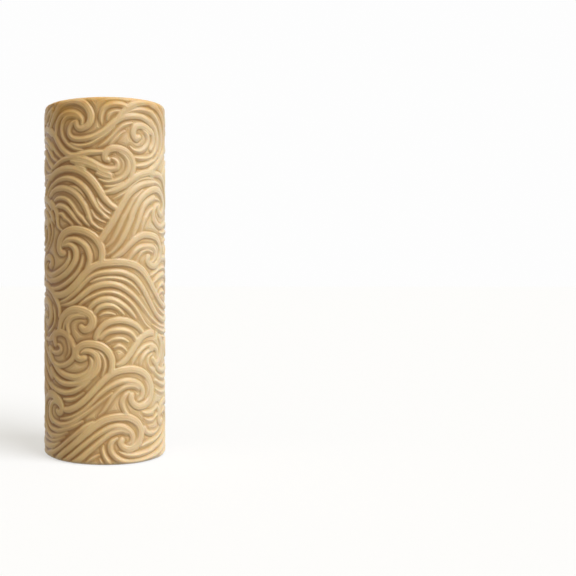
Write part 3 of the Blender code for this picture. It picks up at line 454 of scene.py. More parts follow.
    [(-68.2, 113.1, 0.7), (-69.4, 111.7), (-70.2, 109.6, 2), (-70.2, 107.4), (-69.4, 105.3),
     (-67.6, 103.3, 2), (-65, 101.7, 1.8)],
    [(-76.8, 113.9, 1.2), (-75.9, 115.1), (-74.6, 116.2, 0.7)],
    [(-76.8, 110.1, 1), (-75.7, 111.7, 0.8)],
    [(-76.8, 105.1, 0.9), (-75.1, 103), (-72.6, 101, 1), (-69.8, 99.2, 0.8)],
    [(-76.8, 101, 1), (-75.1, 99.4, 1)],
    [(-63, 99, 2.1), (-62.6, 102.1), (-61.2, 104.9, 2.4), (-58.7, 106.9), (-55.9, 107.7, 3), (-53, 107.2),
     (-50.9, 105.6, 2.5), (-50.1, 103.1), (-49.4, 99, 1.2)],
    [(-50.5, 102.4, 1.6), (-51.4, 100.6), (-53, 100.3, 1.9), (-54.1, 101.5, 1.4)],
    [(-51.8, 103.7, 0.6), (-53.4, 104.9), (-55.9, 105.5, 1.1), (-58, 104.8), (-59.4, 103, 1.8), (-60, 101),
     (-59.6, 99, 2)],
    [(-48.4, 103.1, 0.6), (-46.9, 105.5), (-44.8, 107.8, 2.2), (-41.9, 109.4), (-38.7, 110.1, 2.4),
     (-35.5, 109.9), (-32.3, 109, 2.4), (-29.4, 107.4), (-27, 105.6, 2)],
    [(-40.1, 106.9, 0.6), (-37.3, 107.3), (-34.1, 106.7, 1.2), (-31.2, 105.1), (-28.7, 103.1),
     (-27, 101.5, 1.1)],
    [(-45.3, 99.2, 1.9), (-44.4, 101.4), (-42.6, 103.3, 2.2), (-40.1, 104.4), (-37.3, 104.6, 2.2),
     (-34.4, 103.7), (-31.9, 101.9, 2), (-30.1, 99.6, 1.8)],
    [(-47.6, 99.6, 0.9), (-46.9, 101.7), (-46, 103.3, 0.5)],
    [(-36.2, 111, 1.7), (-34.4, 113.1), (-31.9, 115.6, 1.9), (-29.8, 117.4), (-27, 119, 1.8)],
    [(-32.1, 110.8, 1.3), (-30.1, 112.9), (-27, 115, 1.3)],
    [(-29.4, 110.6, 1.2), (-27, 112.4, 1.3)],
    [(-39.1, 143.3, 1.1), (-36.6, 142.8), (-34.4, 143.3, 1.6), (-31.9, 144.8), (-29.4, 146),
     (-27, 146.7, 1.5)],
    [(-33, 141.4, 0.7), (-30.9, 141.5), (-29.1, 143.3, 1.1), (-27, 145.3, 1)],
    [(-29.8, 148.9, 0.8), (-27, 149.6, 1.1)],
    [(-39.6, 139.6, 1.6), (-36.9, 139.6), (-33.7, 139.4, 2), (-30.5, 138.3), (-27, 136.4, 2)],
    [(-28.6, 139.6, 0.8), (-27.4, 141.2, 1.3)],
    [(-59.8, 149.7, 0.9), (-58.7, 148.9, 0.6)],
    # the big spiral at the left, half way up
    [(-77, 91.3, 2.2), (-74, 93), (-70, 93.6, 2.4), (-65, 93.5), (-60, 92.9), (-55, 91.5), (-51, 90.3),
     (-47.5, 88, 1.6)],
    [(-60.4, 101, 1.7), (-60, 98.5), (-58.5, 96), (-55.5, 93.7), (-52, 92), (-48.5, 89.8, 2),
     (-45.5, 87.3), (-42.5, 84.5), (-39.5, 81.5, 2), (-36.8, 79), (-34, 77), (-31.5, 75.6),
     (-28, 74.7, 1.4)],
    [(-77, 86.7, 2), (-74, 88.7), (-70, 90.6), (-65, 91.2), (-60, 90.8), (-56, 89.5), (-52, 87.2),
     (-49, 84.7), (-46.5, 81.9), (-44.3, 79), (-42, 76.4), (-40, 74.8, 2)],
    [(-68.5, 86.9, .4), (-65, 87.9, 1), (-61, 87.8), (-57, 86.5), (-53, 83.8), (-50, 80.8), (-48, 77.5),
     (-46, 74.4, 1)],
    [(-76, 81.5, .5), (-72, 84.2, 1.1), (-68, 86), (-63.5, 86.3), (-59, 85.5), (-55, 83.5), (-52, 81),
     (-50.6, 78), (-50.3, 75), (-51.3, 71.8, .7)],
    [(-66.7, 78.3, 1.8), (-67.5, 80, 2.4), (-66.2, 82), (-63.5, 83.1, 3), (-60, 82.5), (-57, 80.8),
     (-55.2, 78.4, 2.7), (-55, 76), (-56, 73.2), (-58.3, 70.6), (-61.5, 69), (-65, 68.6, 1.8), (-69, 69.3),
     (-73, 71), (-77, 73.2, 1.5)],
    [(-77, 78.5, 2.7), (-74, 77), (-71, 75.5, 2.6), (-68, 74.3), (-65, 73.9, 1.9), (-62, 74.8),
     (-60.3, 76.6, 1.9), (-60.3, 78.8), (-61.7, 80.3), (-63.8, 81.1, .7)],
    [(-68.5, 71.2, .5), (-65, 71.3, 1), (-61.5, 72.3), (-59, 74.2), (-57.8, 76.7), (-58, 79),
     (-59.5, 80.8, .8)],
    [(-77, 75.1, 1), (-74.5, 74.2), (-71.5, 72.8, .4)],
    [(-77, 70, 1.5), (-73, 67.3), (-69, 66), (-65, 65.9, 1.4), (-61.5, 66.7), (-58.3, 68.2, .5)],
    [(-77, 65, 2.4), (-73, 63.5), (-69, 62.8, 2.8), (-65, 62.7), (-61, 63.3), (-57, 65.3), (-53, 68.2, 3),
     (-49, 71), (-45, 72.9), (-40, 73.5, 2.5), (-35, 73.2), (-30, 71.9), (-26.5, 70.2, 2.2)],
    [(-77, 61.7, 1.2), (-73, 59.7), (-69, 59), (-65, 59.4), (-61, 60.2, 1.4), (-57, 61.7), (-53, 64, 1.7),
     (-49, 66.4), (-45, 68), (-40, 69, 1.2), (-36, 68.8), (-34, 68.6, .5)],
    [(-77, 59, 1), (-73.5, 57), (-70, 56.3, 1.4), (-66, 56.6), (-62, 57.8), (-58, 59.2, 1.6), (-54, 60.2),
     (-51, 60.3), (-48.5, 59.6, 1.6)],
    [(-64.5, 54.8, .7), (-61, 55.3, 1.3), (-57, 56.3), (-54, 57.3), (-50, 57.3, .8)],
    [(-61.5, 53.2, .6), (-57, 53.5, .9), (-53.5, 54.6), (-50.8, 55, .4)],
    [(-51.5, 62.3, .4), (-48.5, 64, .9), (-45.5, 65), (-44, 65.4, .5)],
    # the spiral below the middle, at the left edge of the front
    [(-33.2, 57.8, 2.2), (-31.3, 56.9, 2.6), (-28.9, 58.5), (-28.1, 61.5, 3), (-29.2, 64.6), (-32.2, 66.4),
     (-36, 66.5, 3), (-40, 65.5), (-43.5, 63.2), (-46.3, 60, 2.4), (-47.8, 56.5), (-48, 53.6, 2)],
    [(-31.7, 59.6, .7), (-33, 60.9), (-35, 61.3, 1.4), (-37.5, 60.3), (-39.5, 58), (-40.3, 55.5),
     (-39.8, 53.4, 1.4)],
    [(-33.3, 60.2, .7), (-35.5, 59.8, 1.5), (-37, 58), (-37.3, 55.8), (-36.5, 53.5), (-35, 51.5, 1.6)],
    [(-36.5, 62.9, .4), (-39.5, 62.2, 1.1), (-42, 60.5), (-43.5, 58), (-43.9, 55.5), (-43.4, 53.8, 1)],
    # a rib between these two spirals
    [(-43.7, 81.7, .4), (-41, 79, .9), (-38, 76.9), (-35.5, 75.9), (-33, 75.4, .6)],
    # ribs over the big spiral, up to the upper third
    [(-49.6, 101, 2), (-49, 98), (-47.3, 95.8), (-44.5, 94.6, 2), (-42, 94.4), (-40.9, 95.1, .9)],
    [(-45.1, 101, 1.5), (-45.3, 98), (-44.2, 96), (-42.5, 94.8, .8)],
    [(-74.5, 101, 1.2), (-71, 98.9), (-67, 97.5, 1.5), (-63.5, 96.9), (-60.6, 96.6, .6)],
    [(-63, 101, 2), (-62.6, 98.5), (-61.2, 96.7, 1)],
    [(-70.5, 101, .9), (-67.5, 99.6), (-65, 98.8, .5)],
    [(-77, 100, .8), (-75, 98.7, .4)],
    [(-73.5, 97.3, .4), (-72, 96.6, .9), (-70.5, 96, .4)],
    [(-77, 97, .9), (-74, 95.3, .5)],
    [(-36.4, 95.3, 1.6), (-38, 96, 2), (-38.5, 98), (-37, 99.6, 2.2), (-34.5, 99.9), (-32, 98.8, 2.2),
     (-30.4, 96.5), (-30, 93.5, 1.8), (-31.5, 90.9), (-34.5, 89, 1.5), (-39, 88.1), (-43, 88.2, 1.3),
     (-46.5, 89, 1)],
    [(-35.8, 97.2, 0.7), (-34.6, 96.3, 1.3), (-34.3, 94.5), (-35.5, 92.4, 1.5), (-38, 91),
     (-41.5, 90.3, 1.4), (-45, 90.3), (-48, 90.8, 1)],
    [(-35.9, 79.6, 1.2), (-35.8, 82, 1.6), (-33.8, 84.2), (-30.8, 84.9, 2.2), (-28.2, 84.3),
     (-27.1, 82.5, 2.4), (-28, 80.9), (-29, 81.4, 1.7)],
    # the lower third of the left side
    [(-76.9, 24.3, 1.8), (-74.4, 24.7), (-70.9, 25, 2.1), (-67.3, 24.6), (-64, 23.2, 2.1), (-60.9, 21.4),
     (-58, 19, 2.2), (-55.5, 16), (-52.5, 12.7, 2.3), (-49.1, 9.7), (-45.5, 7.5, 2.3), (-41.2, 6),
     (-36.9, 5.2, 2), (-32.3, 5), (-27, 5.6, 1.8)],
    [(-46.2, 26.2, 1.5), (-44.9, 24.6), (-43, 25.1, 2.2), (-41.7, 27.6), (-42.3, 30.5, 3), (-44.6, 32.4),
     (-48, 33, 3), (-51.6, 32.1), (-54.7, 30, 2.2), (-57, 26.7), (-57.4, 23.2, 1.7), (-56.6, 19.8),
     (-55.5, 17.4, 1.2)],
    [(-44.4, 28.4, 0.7), (-46.1, 29.8), (-48.4, 30.1, 1.4), (-51, 28.8), (-52.5, 26, 2.4), (-52.4, 22.7),
     (-50.9, 19.2, 2.3), (-48.4, 16), (-45.1, 13.6, 1.9), (-41.2, 12.2), (-37.6, 11.4, 1.1)],
    [(-49.8, 23, 0.5), (-49.1, 20.3), (-47.2, 18.1, 1.2), (-44.4, 16.5), (-41.2, 15.7, 1.6),
     (-39.1, 15.5, 1.2)],
    [(-39.5, 19.8, 0.5), (-39.6, 17.8), (-38.9, 14.9, 1.2), (-37.6, 12.2), (-35.5, 10.6, 0.9),
     (-33.7, 10.1, 0.5)],
    [(-53.9, 19.4, 0.6), (-52.5, 16.2), (-50, 13.3, 1), (-46.6, 10.8), (-42.6, 9.3, 1), (-38, 8.4),
     (-33.4, 8.1), (-31.2, 8, 0.6)],
    [(-75.1, 26.6, 1.3), (-72.6, 29.8), (-70.5, 33.1, 1.9), (-67.8, 36.2), (-64.4, 38.9, 2), (-60.5, 40.6),
     (-56.9, 41.4, 1.9), (-52.7, 41.6), (-48.4, 40.9, 1.9), (-44.6, 39.2), (-40.9, 36.7, 2), (-37.3, 33.8),
     (-33.7, 30.8, 1.8), (-31, 28.7, 1.3)],
    [(-60.2, 41.2, 1.2), (-57.3, 43.7, 1.8), (-54.1, 46.2), (-50.2, 47.8, 1.9), (-46.2, 48.4),
     (-42.3, 47.9, 1.9), (-38.9, 46.1), (-35.9, 43.3, 1.9), (-33, 39.7), (-30.1, 36.7), (-27, 34.6, 1.8)],
    [(-56.9, 42.5, 1), (-54.1, 44, 1.3), (-50.7, 44.9), (-46.9, 45, 1.7), (-43.3, 44), (-39.8, 41.7, 1.7),
     (-36.6, 38.5), (-33.7, 34.9, 1.7), (-30.5, 32.2), (-27, 30.3, 1.5)],
    [(-59.6, 46.2, 1.2), (-57.6, 48.4), (-55.1, 50.5, 1.9), (-51.6, 52), (-47.6, 52.6), (-43.7, 52.1),
     (-40, 51), (-37.3, 49.6, 1.7), (-34.5, 47.5), (-31.9, 45.2), (-29.4, 43.1), (-27, 41, 1.7)],
    [(-60.2, 44.5, 0.5), (-60, 46.7, 0.9), (-60.9, 49.3), (-62.3, 51, 1)],
    [(-77, 50.5, 1.9), (-74.5, 50.9), (-72.5, 49.8, 1.3)],
    [(-66.5, 51.4, 1.5), (-64.1, 49.8), (-62.5, 47.2, 1.8), (-62.2, 44), (-63.4, 41.2), (-65.8, 38.9, 1.7),
     (-69.1, 37.2), (-73, 36.6, 1.8), (-76.9, 37.1, 1.6)],
    [(-71, 49.4, 0.7), (-69.4, 49.2), (-68.6, 47.5, 1.4), (-69.8, 45.8), (-72.6, 45.3, 1.7),
     (-76.9, 46, 1.6)],
    [(-65.8, 48.3, 0.5), (-65.4, 46.2), (-66.2, 43.7, 1.2), (-68.4, 41.7), (-71.6, 41, 1.1), (-74.4, 40.7),
     (-76.9, 41.5, 1.1)],
    [(-75.1, 39.1, 0.6), (-72.6, 39, 0.9), (-69.4, 39.4, 0.5)],
    [(-76.9, 34.4, 1.1), (-76.1, 31.5, 1), (-75.7, 29.4, 0.6)],
    [(-75.4, 31, 0.7), (-73.7, 33), (-72, 35, 1.2), (-70.4, 36.2, 1)],
    [(-70.9, 26.4, 0.7), (-69.4, 28.8), (-67.3, 31.9, 1), (-64.8, 34.7), (-61.6, 36.9, 1.1), (-57.6, 38.2),
     (-53.4, 38.4, 1), (-49.4, 37.8), (-45.5, 36.9), (-44.6, 36.6, 0.5)],
    [(-67.1, 26, 0.7), (-65.5, 28.7), (-63.4, 31.5, 1.3), (-60.5, 34), (-56.9, 35.8, 1.3), (-52.7, 36.5),
     (-48.4, 36.2, 1.1), (-44.4, 35.1), (-40.9, 33.1, 1), (-38, 30.5), (-35.2, 28.2), (-33.6, 27, 0.8)],
    [(-63.6, 24.9, 1.1), (-62.1, 27.3), (-60.1, 30.1, 1.4), (-57.3, 32.4), (-54.4, 33.8),
     (-52.8, 34.1, 0.8)],
    [(-27, 26.9, 2.1), (-30.3, 26.5), (-33.5, 24.9, 2.2), (-35.5, 22), (-36.1, 18.6, 2.1), (-35.1, 15.1),
     (-32.8, 12.2, 1.9), (-30, 10.5), (-27, 9.8, 1.6)],
    [(-28.4, 24.2, 0.7), (-30.5, 23.3), (-32.2, 21.1, 1), (-32.7, 18.3), (-31.6, 15.6, 1.2), (-29.4, 13.7),
     (-27, 12.8, 1.3)],
    [(-27, 23.6, 1), (-28.8, 22), (-29.4, 19.6, 2.2), (-28.6, 17.5), (-27, 16.2, 2)],
    [(-76.9, 20.1, 1.4), (-74.1, 20.5), (-70.9, 20.7, 1.4), (-67.3, 19.7), (-63.7, 17.8, 1.3), (-60.5, 15),
     (-57.3, 11.9, 0.9), (-54.1, 8.7), (-50.2, 6.2, 1.1), (-46.2, 4.4), (-42, 3.4, 1), (-37.3, 2.7),
     (-33.7, 2.4, 0.6)],
    [(-76.9, 15.7, 1.6), (-73, 16.1), (-69.4, 15.4, 1.8), (-65.8, 13.6), (-62.3, 10.9, 1.7), (-58.7, 7.9),
     (-54.8, 5.1, 1.8), (-50.2, 2.9), (-45.5, 1.5, 1.9), (-40.5, 0.9), (-35.5, 0.9), (-31.2, 1.6),
     (-27, 2.9, 1.9)],
    [(-76.9, 12.1, 1.4), (-73.4, 12), (-69.8, 10.8, 1.7), (-66.2, 8.7), (-62.6, 6, 1.7), (-58.7, 3),
     (-54.8, 0.6, 1.6), (-52.4, 0)],
    [(-76.9, 8.3, 1.3), (-73.4, 7.5), (-69.8, 5.7, 1.6), (-66.2, 3.5), (-62.6, 0.6, 1.5), (-61.8, 0)],
    [(-76.9, 3.8, 1.1), (-74.1, 3), (-71.2, 1.4, 1.4), (-68.4, 0, 1.3)],
    [(-76.9, 0.6, 0.8), (-75.4, 0, 0.6)],
    [(-29.8, 46.6, 1.6), (-27, 46, 1.4)],
    [(-33.7, 50.2, 1.2), (-30.5, 50.1), (-27, 50.7, 1.3)],
    [(-30.2, 0.2, 0.7), (-27, 1.1, 1)],
    # the upper third of the right side
    [(22, 148.1, 2.3), (25.6, 147.3), (29.1, 145.6), (32, 143.3), (34.3, 140.3), (35.5, 136.7, 2.4),
     (35.5, 133.1), (34.5, 129.9, 2)],
    [(22, 144.4, 1.7), (25.2, 143), (27.9, 140.6), (30, 137.8, 1.8), (30.9, 134.6), (30.4, 131.4),
     (29.1, 128.9), (27.9, 126.7, 0.7)],
    [(22, 141, 1.5), (24.5, 138.5), (26.3, 135.6, 1.8), (26.6, 132.8), (25.6, 129.9), (23.8, 127.8),
     (22, 126.5, 1.1)],
    [(22, 137, 2), (23.4, 135.3), (23.6, 132.4), (22.7, 130.3), (22, 129.4, 1.6)],
    [(22, 124, 1.1), (24.5, 125.1), (26.5, 126.7), (27.7, 128.7, 0.6)],
    [(25.8, 139.6, 0.5), (27.2, 137.4, 0.4)],
    [(22, 120.8, 1.8), (24.9, 122.4), (28.1, 124.6), (31.3, 127.4, 2.4), (34.5, 129.6), (37.7, 130.8),
     (42, 131.4, 2.5), (45.9, 130.8), (49.1, 129.4), (51.6, 127.3), (53.1, 124.6, 2.9), (53.1, 122.1),
     (52, 119.4), (49.9, 117.6, 2.6), (47.5, 117.3), (45.8, 118.7, 1.5)],
    [(31.5, 119.4, 1.2), (33.8, 122.3), (36.6, 124.4, 1.8), (39.9, 125.8), (43.4, 126), (46.6, 124.8, 1.9),
     (48.6, 122.8), (49, 120.6), (48.3, 119.2, 1.1)],
    [(46.6, 122.4, 0.9), (44.9, 122.4), (42.7, 121, 1.8), (41.7, 118.5), (42.7, 115.8), (45.6, 113.5, 2.2),
     (49.5, 112.4), (53.4, 112.6), (57.4, 113.9), (60.6, 116), (62.9, 118.9), (63.8, 121.9, 2.3),
     (63.1, 125.3), (61.1, 127.8), (58.4, 128.9), (56.1, 128.5, 2), (54.7, 126.7), (55.4, 124.8),
     (57.2, 124.4, 1.8), (57.7, 125.5, 1.2)],
    [(47.4, 123.4, 0.8), (45.4, 124.2), (42, 124), (39.1, 122.4, 1.3), (37.4, 119.9), (37.7, 117.1),
     (39.1, 114.2, 1.1), (41.6, 111.4), (44.9, 109.4), (48.1, 108.9), (50.8, 108.9, 0.6)],
    [(22, 119, 1.8), (25.6, 119.4), (29.5, 119, 2.2), (32.7, 117.6), (35.2, 115.3), (37.4, 112.1),
     (39.5, 108.9), (42.4, 106.5, 2.1), (45.6, 105.5, 1.4)],
    [(22, 115.8, 1.3), (25.6, 115.8), (29.1, 114.9), (31.6, 113.7), (33.8, 112.3, 0.5)],
    [(22, 117.1, 0.6), (24.4, 117.3, 0.4)],
    [(22, 112.4, 2.2), (25.2, 113), (28.4, 112.4, 2.8), (31.3, 110.6), (33.4, 108.1, 2.9), (33.4, 105.3),
     (31.6, 103.3, 2.6), (29.1, 103), (27.7, 104.9, 1.7), (28.4, 106.1, 1)],
    [(22, 107.8, 1.2), (24.5, 108.9), (27, 108.9), (29, 108.5, 0.6)],
    [(29.9, 105.5, 0.7), (29.4, 106.5), (27.7, 106.7, 1.2), (25.4, 105.8), (23.8, 103.5, 1.8), (24.1, 101),
     (25.9, 99.2, 1.8)],
    [(36.1, 107.8, 0.6), (37, 105.6), (39.1, 103.7, 1), (42, 103, 0.6)],
    [(40.6, 101, 0.8), (43.8, 103), (47, 105.1, 2), (50.2, 107.3), (54.1, 108.1, 2.3), (58.4, 108),
     (62, 107.1), (65.6, 105.5, 2.1), (68.4, 103.5), (70.6, 101.9, 1.9)],
    [(45.6, 100.1, 0.7), (48.8, 102.1), (52.4, 104, 1.2), (56.3, 104.8), (60.2, 104.6), (63.8, 103.5),
     (67, 102.3, 0.6)],
    [(50.6, 99.6, 0.8), (54.1, 101.4), (58.4, 102.1, 1.4), (63.1, 102.1), (66.6, 101.5),
     (69.9, 100.6, 1.6)],
    [(42.2, 141.4, 1.1), (41.1, 142.3), (41.5, 144, 2), (43.1, 145.6), (45.4, 146.2, 2.8), (48.1, 145.5),
     (50.6, 143.3, 2.4), (51.8, 140.6), (51.6, 137.8), (50.2, 135.3, 1.5), (48.4, 133.3),
     (46.6, 131.9, 0.6)],
    [(43.1, 141.7, 0.9), (44.5, 141.4), (44.9, 139.9), (43.8, 138.5, 1.4), (41.6, 138.1),
     (39.1, 138.7, 1.4), (37.4, 140.1), (36.5, 140.3, 1.1)],
    [(47.7, 144.2, 0.6), (49.1, 142.4), (49.7, 139.9, 1.5), (48.8, 137.1), (46.6, 134.8, 1.5),
     (43.8, 133.5), (40.6, 133.1), (37.4, 133.3, 0.7)],
    [(50.9, 145.5, 1.6), (53.4, 147.1), (56.3, 148, 2.1), (59.5, 148), (62.7, 146.9), (65.6, 145.1, 2),
     (68.1, 143.3), (70.6, 141.4, 1.6)],
    [(53.3, 142.4, 0.8), (55.6, 144), (58.8, 144.6, 1.2), (62.4, 144.2), (65.6, 143.1), (68.4, 141.9, 0.7)],
    [(53.8, 138.5, 0.6), (54.9, 140.6), (57.4, 141.9, 1), (60.2, 142.4, 0.5)],
    [(53.1, 135.3, 0.6), (55.2, 137.3), (58.1, 139.4), (61.3, 140.4, 1.3), (64.9, 139.9), (68.1, 138.9),
     (70.6, 137.6, 1.3)],
    [(51.5, 131.2, 1.9), (53.4, 133.1), (55.9, 134.8, 2.7), (59.1, 135.5), (62.4, 135.3, 2.7),
     (65.6, 134.4), (68.4, 133), (70.6, 131.2, 2)],
    [(54.3, 127.4, 1.2), (55.4, 129.6), (57.7, 131, 1.7), (60.6, 131.4), (63.4, 131), (65.9, 129.4),
     (68.1, 126.7, 1.9), (69.1, 123.5), (68.6, 119.9), (66.6, 116.7), (63.8, 113.9, 1.6), (60.2, 111.7),
     (55.9, 110.5), (51.3, 110.5, 0.7)],
    [(58.4, 126.4, 0.6), (60.2, 124.8), (60.8, 122.4, 1.4), (59.5, 119.8), (57.2, 117.6, 0.7)],
    [(64.1, 127.8, 0.7), (65.8, 126), (66.6, 124, 0.5)],
    [(60.6, 108.3, 1), (64.1, 110.1, 1.7), (67.4, 112.6), (69.9, 115.3), (70.9, 116.5, 1.4)],
    [(65.4, 107.6, 0.7), (68.1, 109.9, 1.1), (70.6, 112.4, 1.1)],
    [(69.1, 104.9, 0.7), (69.7, 107.1), (70.8, 109.2, 1)],
    [(68.8, 145.1, 0.9), (69.7, 146.5), (70.8, 147.6, 1.3)],
    # the crest at the right of the front, closed over its own spiral
    [(23, 93.5, 2.4), (26, 92.7), (28.4, 90.8, 2.8), (29.8, 88), (29.6, 85.3, 2.8), (27.8, 82.8),
     (25.2, 81.2, 2.3), (22.8, 80.9), (20.7, 81.8, 2.3), (19.8, 83.3), (20.6, 84.9, 1.7)],
    [(23, 88.9, 1.7), (24.7, 87.8), (25.3, 86, 1.8), (24.6, 84), (23.2, 82.9, .9), (22, 82.9, .5)],
    [(25, 90, .4), (26.7, 88.3, 1), (27, 86), (26.5, 84, .4)],
    # the lens-shaped wave: the long crest dips under it and curls up at its right end
    [(23, 72.2, 2.6), (25, 70), (27, 68.1, 2.4), (30, 65.8), (33.8, 64.3, 2.2), (37.4, 63.6),
     (41.3, 63.6, 2.1), (44.9, 64.8), (47.1, 66.7, 1.9), (48.4, 68.9), (47.9, 70.6, 1.3), (46.6, 71.6, .7)],
    [(22, 65.2, 1.9), (24.1, 62.8), (26.6, 60.6, 1.9), (29.9, 58.9), (33.8, 58, 2), (37.4, 58),
     (41.3, 58.9, 2), (44.9, 60.3), (48.4, 62.4, 2.3), (50.9, 64.9), (51.6, 67.8, 2.9), (51.1, 70.6),
     (49.5, 72.7, 2.8), (47, 73.4), (44.1, 73, 2.4), (42.4, 71.7), (42.1, 69.9, 2.3), (43.4, 69, 1.9)],
    [(24.1, 66.4, .4), (26.6, 63.9, .9), (30.2, 61.9), (34.1, 60.6, 1), (37.7, 60.6), (41.3, 61.4),
     (44.9, 62.4, .9), (47, 63.3, .5)],
    [(22, 59.4, 1), (24.9, 57.8), (28.4, 56.2, 1), (32.7, 55.3), (37, 55.1, 1), (41.3, 56),
     (44.9, 57.4, .9), (48.1, 59.2, .4)],
    [(29.1, 83.5, 1.7), (32, 84.2), (34.9, 84.5, 2), (37.7, 84), (40.6, 82.8, 1.9), (43.4, 81),
     (45.6, 78.9, 1.8), (47.7, 76.4), (49.3, 74.4, 1.5)],
    [(22.4, 77.1, 1), (24.9, 78.3), (29.1, 79.9, 1.2), (33.8, 80.3), (37, 79.8, 1.1), (40.6, 78.1),
     (43.1, 76), (44.5, 74.6, 1)],
    [(24.1, 74.2, 1), (26.6, 75.8, 1.6), (30.2, 77.1), (34.1, 77.4, 1.9), (37.4, 76.7), (40.2, 74.9, 1.5),
     (42, 73.5, .9)],
    [(26.5, 70.6, .7), (28.8, 72.6, 1.3), (31.3, 73.4), (34.1, 73.2, 1.5), (36.6, 71.9), (38.8, 69.8, .7)],
    [(28.3, 68.8, .6), (30, 70, 1.2), (33, 70.3), (35.5, 69.5, 1.2), (37, 68.3, .6)],
    # above it, a double crest and a small arch
    [(24.1, 100.3, 2.2), (25.6, 98.9), (28.1, 97.8, 1.9), (30.9, 97.7), (34.5, 98.8, 1.8), (38.1, 99.4),
     (42, 98.8, 2.1), (46.3, 97), (49.9, 94.8, 2.1), (52.7, 92.8), (54.1, 91.5, .9)],
    [(28.8, 95.1, .7), (32.7, 95.1, 1.1), (36.3, 95.8), (39.9, 95.8, 1.5), (43.4, 95.2), (47, 93.8, 1.5),
     (50.2, 90.8, .7)],
    [(32.3, 91.3, .9), (35.5, 92.4), (39, 92.7, 1), (42.5, 92), (45, 91.2, .4)],
    [(36.6, 86, 1.2), (38.8, 88, 1.7), (42, 89.3), (45.2, 89.4, 2), (48.8, 88.3, 1.7)],
    [(39.8, 84.5, .6), (42, 86, 1.1), (44.5, 86.8), (47, 86.8, .5)],
    # the spiral at the right, whose ribs run on round the back
    [(56.4, 83.6, 1.7), (57.5, 82, 2.2), (59.5, 82.3), (61.2, 84.2, 2.7), (61.3, 86.5), (59.9, 88.7, 2.8),
     (57.2, 90), (54, 90.1, 2.8), (51.2, 89.2), (49, 87.4, 2.4), (47.9, 85), (48.1, 82.3, 2), (49.6, 79.5),
     (51.5, 77.2, 1.3), (53.7, 75.6, .7)],
    [(59, 87.3, .9), (56.3, 87.3, 1.5), (53.4, 86.9), (51.3, 84.9, 1.9), (50.9, 82.4), (52.4, 79.9, 1.9),
     (54.9, 77.9), (58.4, 76.5, 1.7), (62, 75.7), (66.5, 74.4), (70.6, 72.6, 1.5)],
    [(53.4, 75.3, 1.1), (56.3, 73.8, 1.9), (59.9, 73), (64.9, 71.7, 2), (70.6, 69.6, 2)],
    [(55.6, 80.8, .6), (57.7, 79.6, 1.2), (61.3, 79), (64.9, 79.2, 2.1), (70.6, 78.9, 2.5)],
    [(61, 77.6, .5), (66, 77.3, 1.1), (70.6, 76.4, 1.1)],
    [(53.1, 71.7, .9), (55.6, 70.8, 1), (59.9, 70.4, .4)],
    [(53.8, 68.5, .7), (57.7, 69.2, 1.1), (61.3, 69.2), (64.9, 68.1, 1.9), (68.4, 66.4), (70.6, 64.9, 1.8)],
    # the rolled crest under it
    [(63, 59.4, 1.4), (61.4, 58.4, 1.9), (61.8, 56.9), (63.8, 56.5, 2.2), (66.3, 57.6), (67.2, 60.3, 2.8),
     (66.3, 63.1), (63.4, 64.7, 2.8), (60.6, 65), (57.7, 64.1, 2.4), (55.2, 62.1), (53.1, 59.6, 2),
     (50.2, 57.1), (46.6, 55.1, 1.9), (43.4, 53.9), (39.1, 53, 1.6), (34.5, 53), (30.2, 53.7, 1.3),
     (27, 54.8), (23.1, 56.5, .5)],
    [(64.5, 61.2, .8), (62.4, 62.1, 1.3), (59.9, 62.3), (57.4, 61.5, 1.2), (55.9, 59.6, .9)],
    [(57.4, 60, .8), (56.4, 58.2, 1.4), (56.4, 55.8), (57.7, 53.2, 1.6)],
    [(55.6, 61.4, .6), (53.4, 58.2, 1), (51.3, 55.6), (48.4, 53.2, .5)],
    [(61.6, 54.2, .7), (64.1, 53.1, 1.1), (67, 53.5), (70.6, 55.3, 1.2)],
    [(30.9, 51.4, .5), (33.8, 50.8, 1), (37.4, 50.8), (39.7, 51.4, .5)],
    # ribs over the spiral, up to the upper third
    [(45.6, 99.9, 1), (48.5, 101.2, 1.2)],
    [(49.2, 98, .8), (51.6, 99.6, 1.2), (53.6, 100.9)],
    [(52.4, 96.6, .7), (54.9, 98, 1.1), (57.7, 98.7), (61.3, 98.9), (64.9, 98.5, 1.1), (70.6, 97.1, 1.1)],
    [(53.8, 94.4, .9), (55.9, 95.7, 1.3), (59.1, 96.4), (62.7, 96.4, 1.7), (66.6, 95.3), (70.6, 93.5, 1.5)],
    [(56.3, 92.3, .7), (58.8, 93.4, 1.4), (62, 93.3), (64.9, 92.3, 1.8), (67.4, 90.5), (68.8, 88.5, 1.5),
     (69.5, 87.1, 1)],
    [(62.4, 91, .4), (64, 89.9, .8), (65.2, 88.5, .4)],
    [(65.8, 85, .8), (67, 86.7, 1.6), (68.3, 88.2, 2)],
    [(66.3, 82.6, .5), (68.5, 84.3, 1.1), (70.6, 85.6, 1.2)],
    # the lower third of the right side
    [(29.1, 51, 2.4), (30.6, 48.9), (30.8, 46, 2.7), (29.7, 43), (27.7, 41), (25.2, 40.6, 2.1),
     (23.4, 42.4, 1.5)],
    [(22, 47.1, 2.4), (24.5, 47.1), (26.5, 45.6, 1.7), (26.8, 43.9), (26.3, 42.6, 1.2)],
    [(41.3, 43.2, 1.8), (40, 42.9), (38.8, 44.2, 2.8), (38.6, 46.7), (40.6, 48.9, 2.8), (43.8, 49.9),
     (47.4, 49.6, 2.6), (50.6, 47.8), (52.5, 44.9, 2.5), (53.1, 41.7), (52.2, 38.9, 2), (50.6, 36.4),
     (47.7, 33.9, 0.9), (44.9, 32.1), (41.3, 30.8, 1.2), (37, 30.3), (32.7, 30.6, 1.4), (29.1, 31.5),
     (26.6, 32.6), (24.9, 33.3, 1.2)],
    [(40.9, 44.9, 0.7), (43.1, 46), (45.2, 45.5, 1.8), (46.6, 43.5), (46.3, 41, 2.1), (44.5, 38.9),
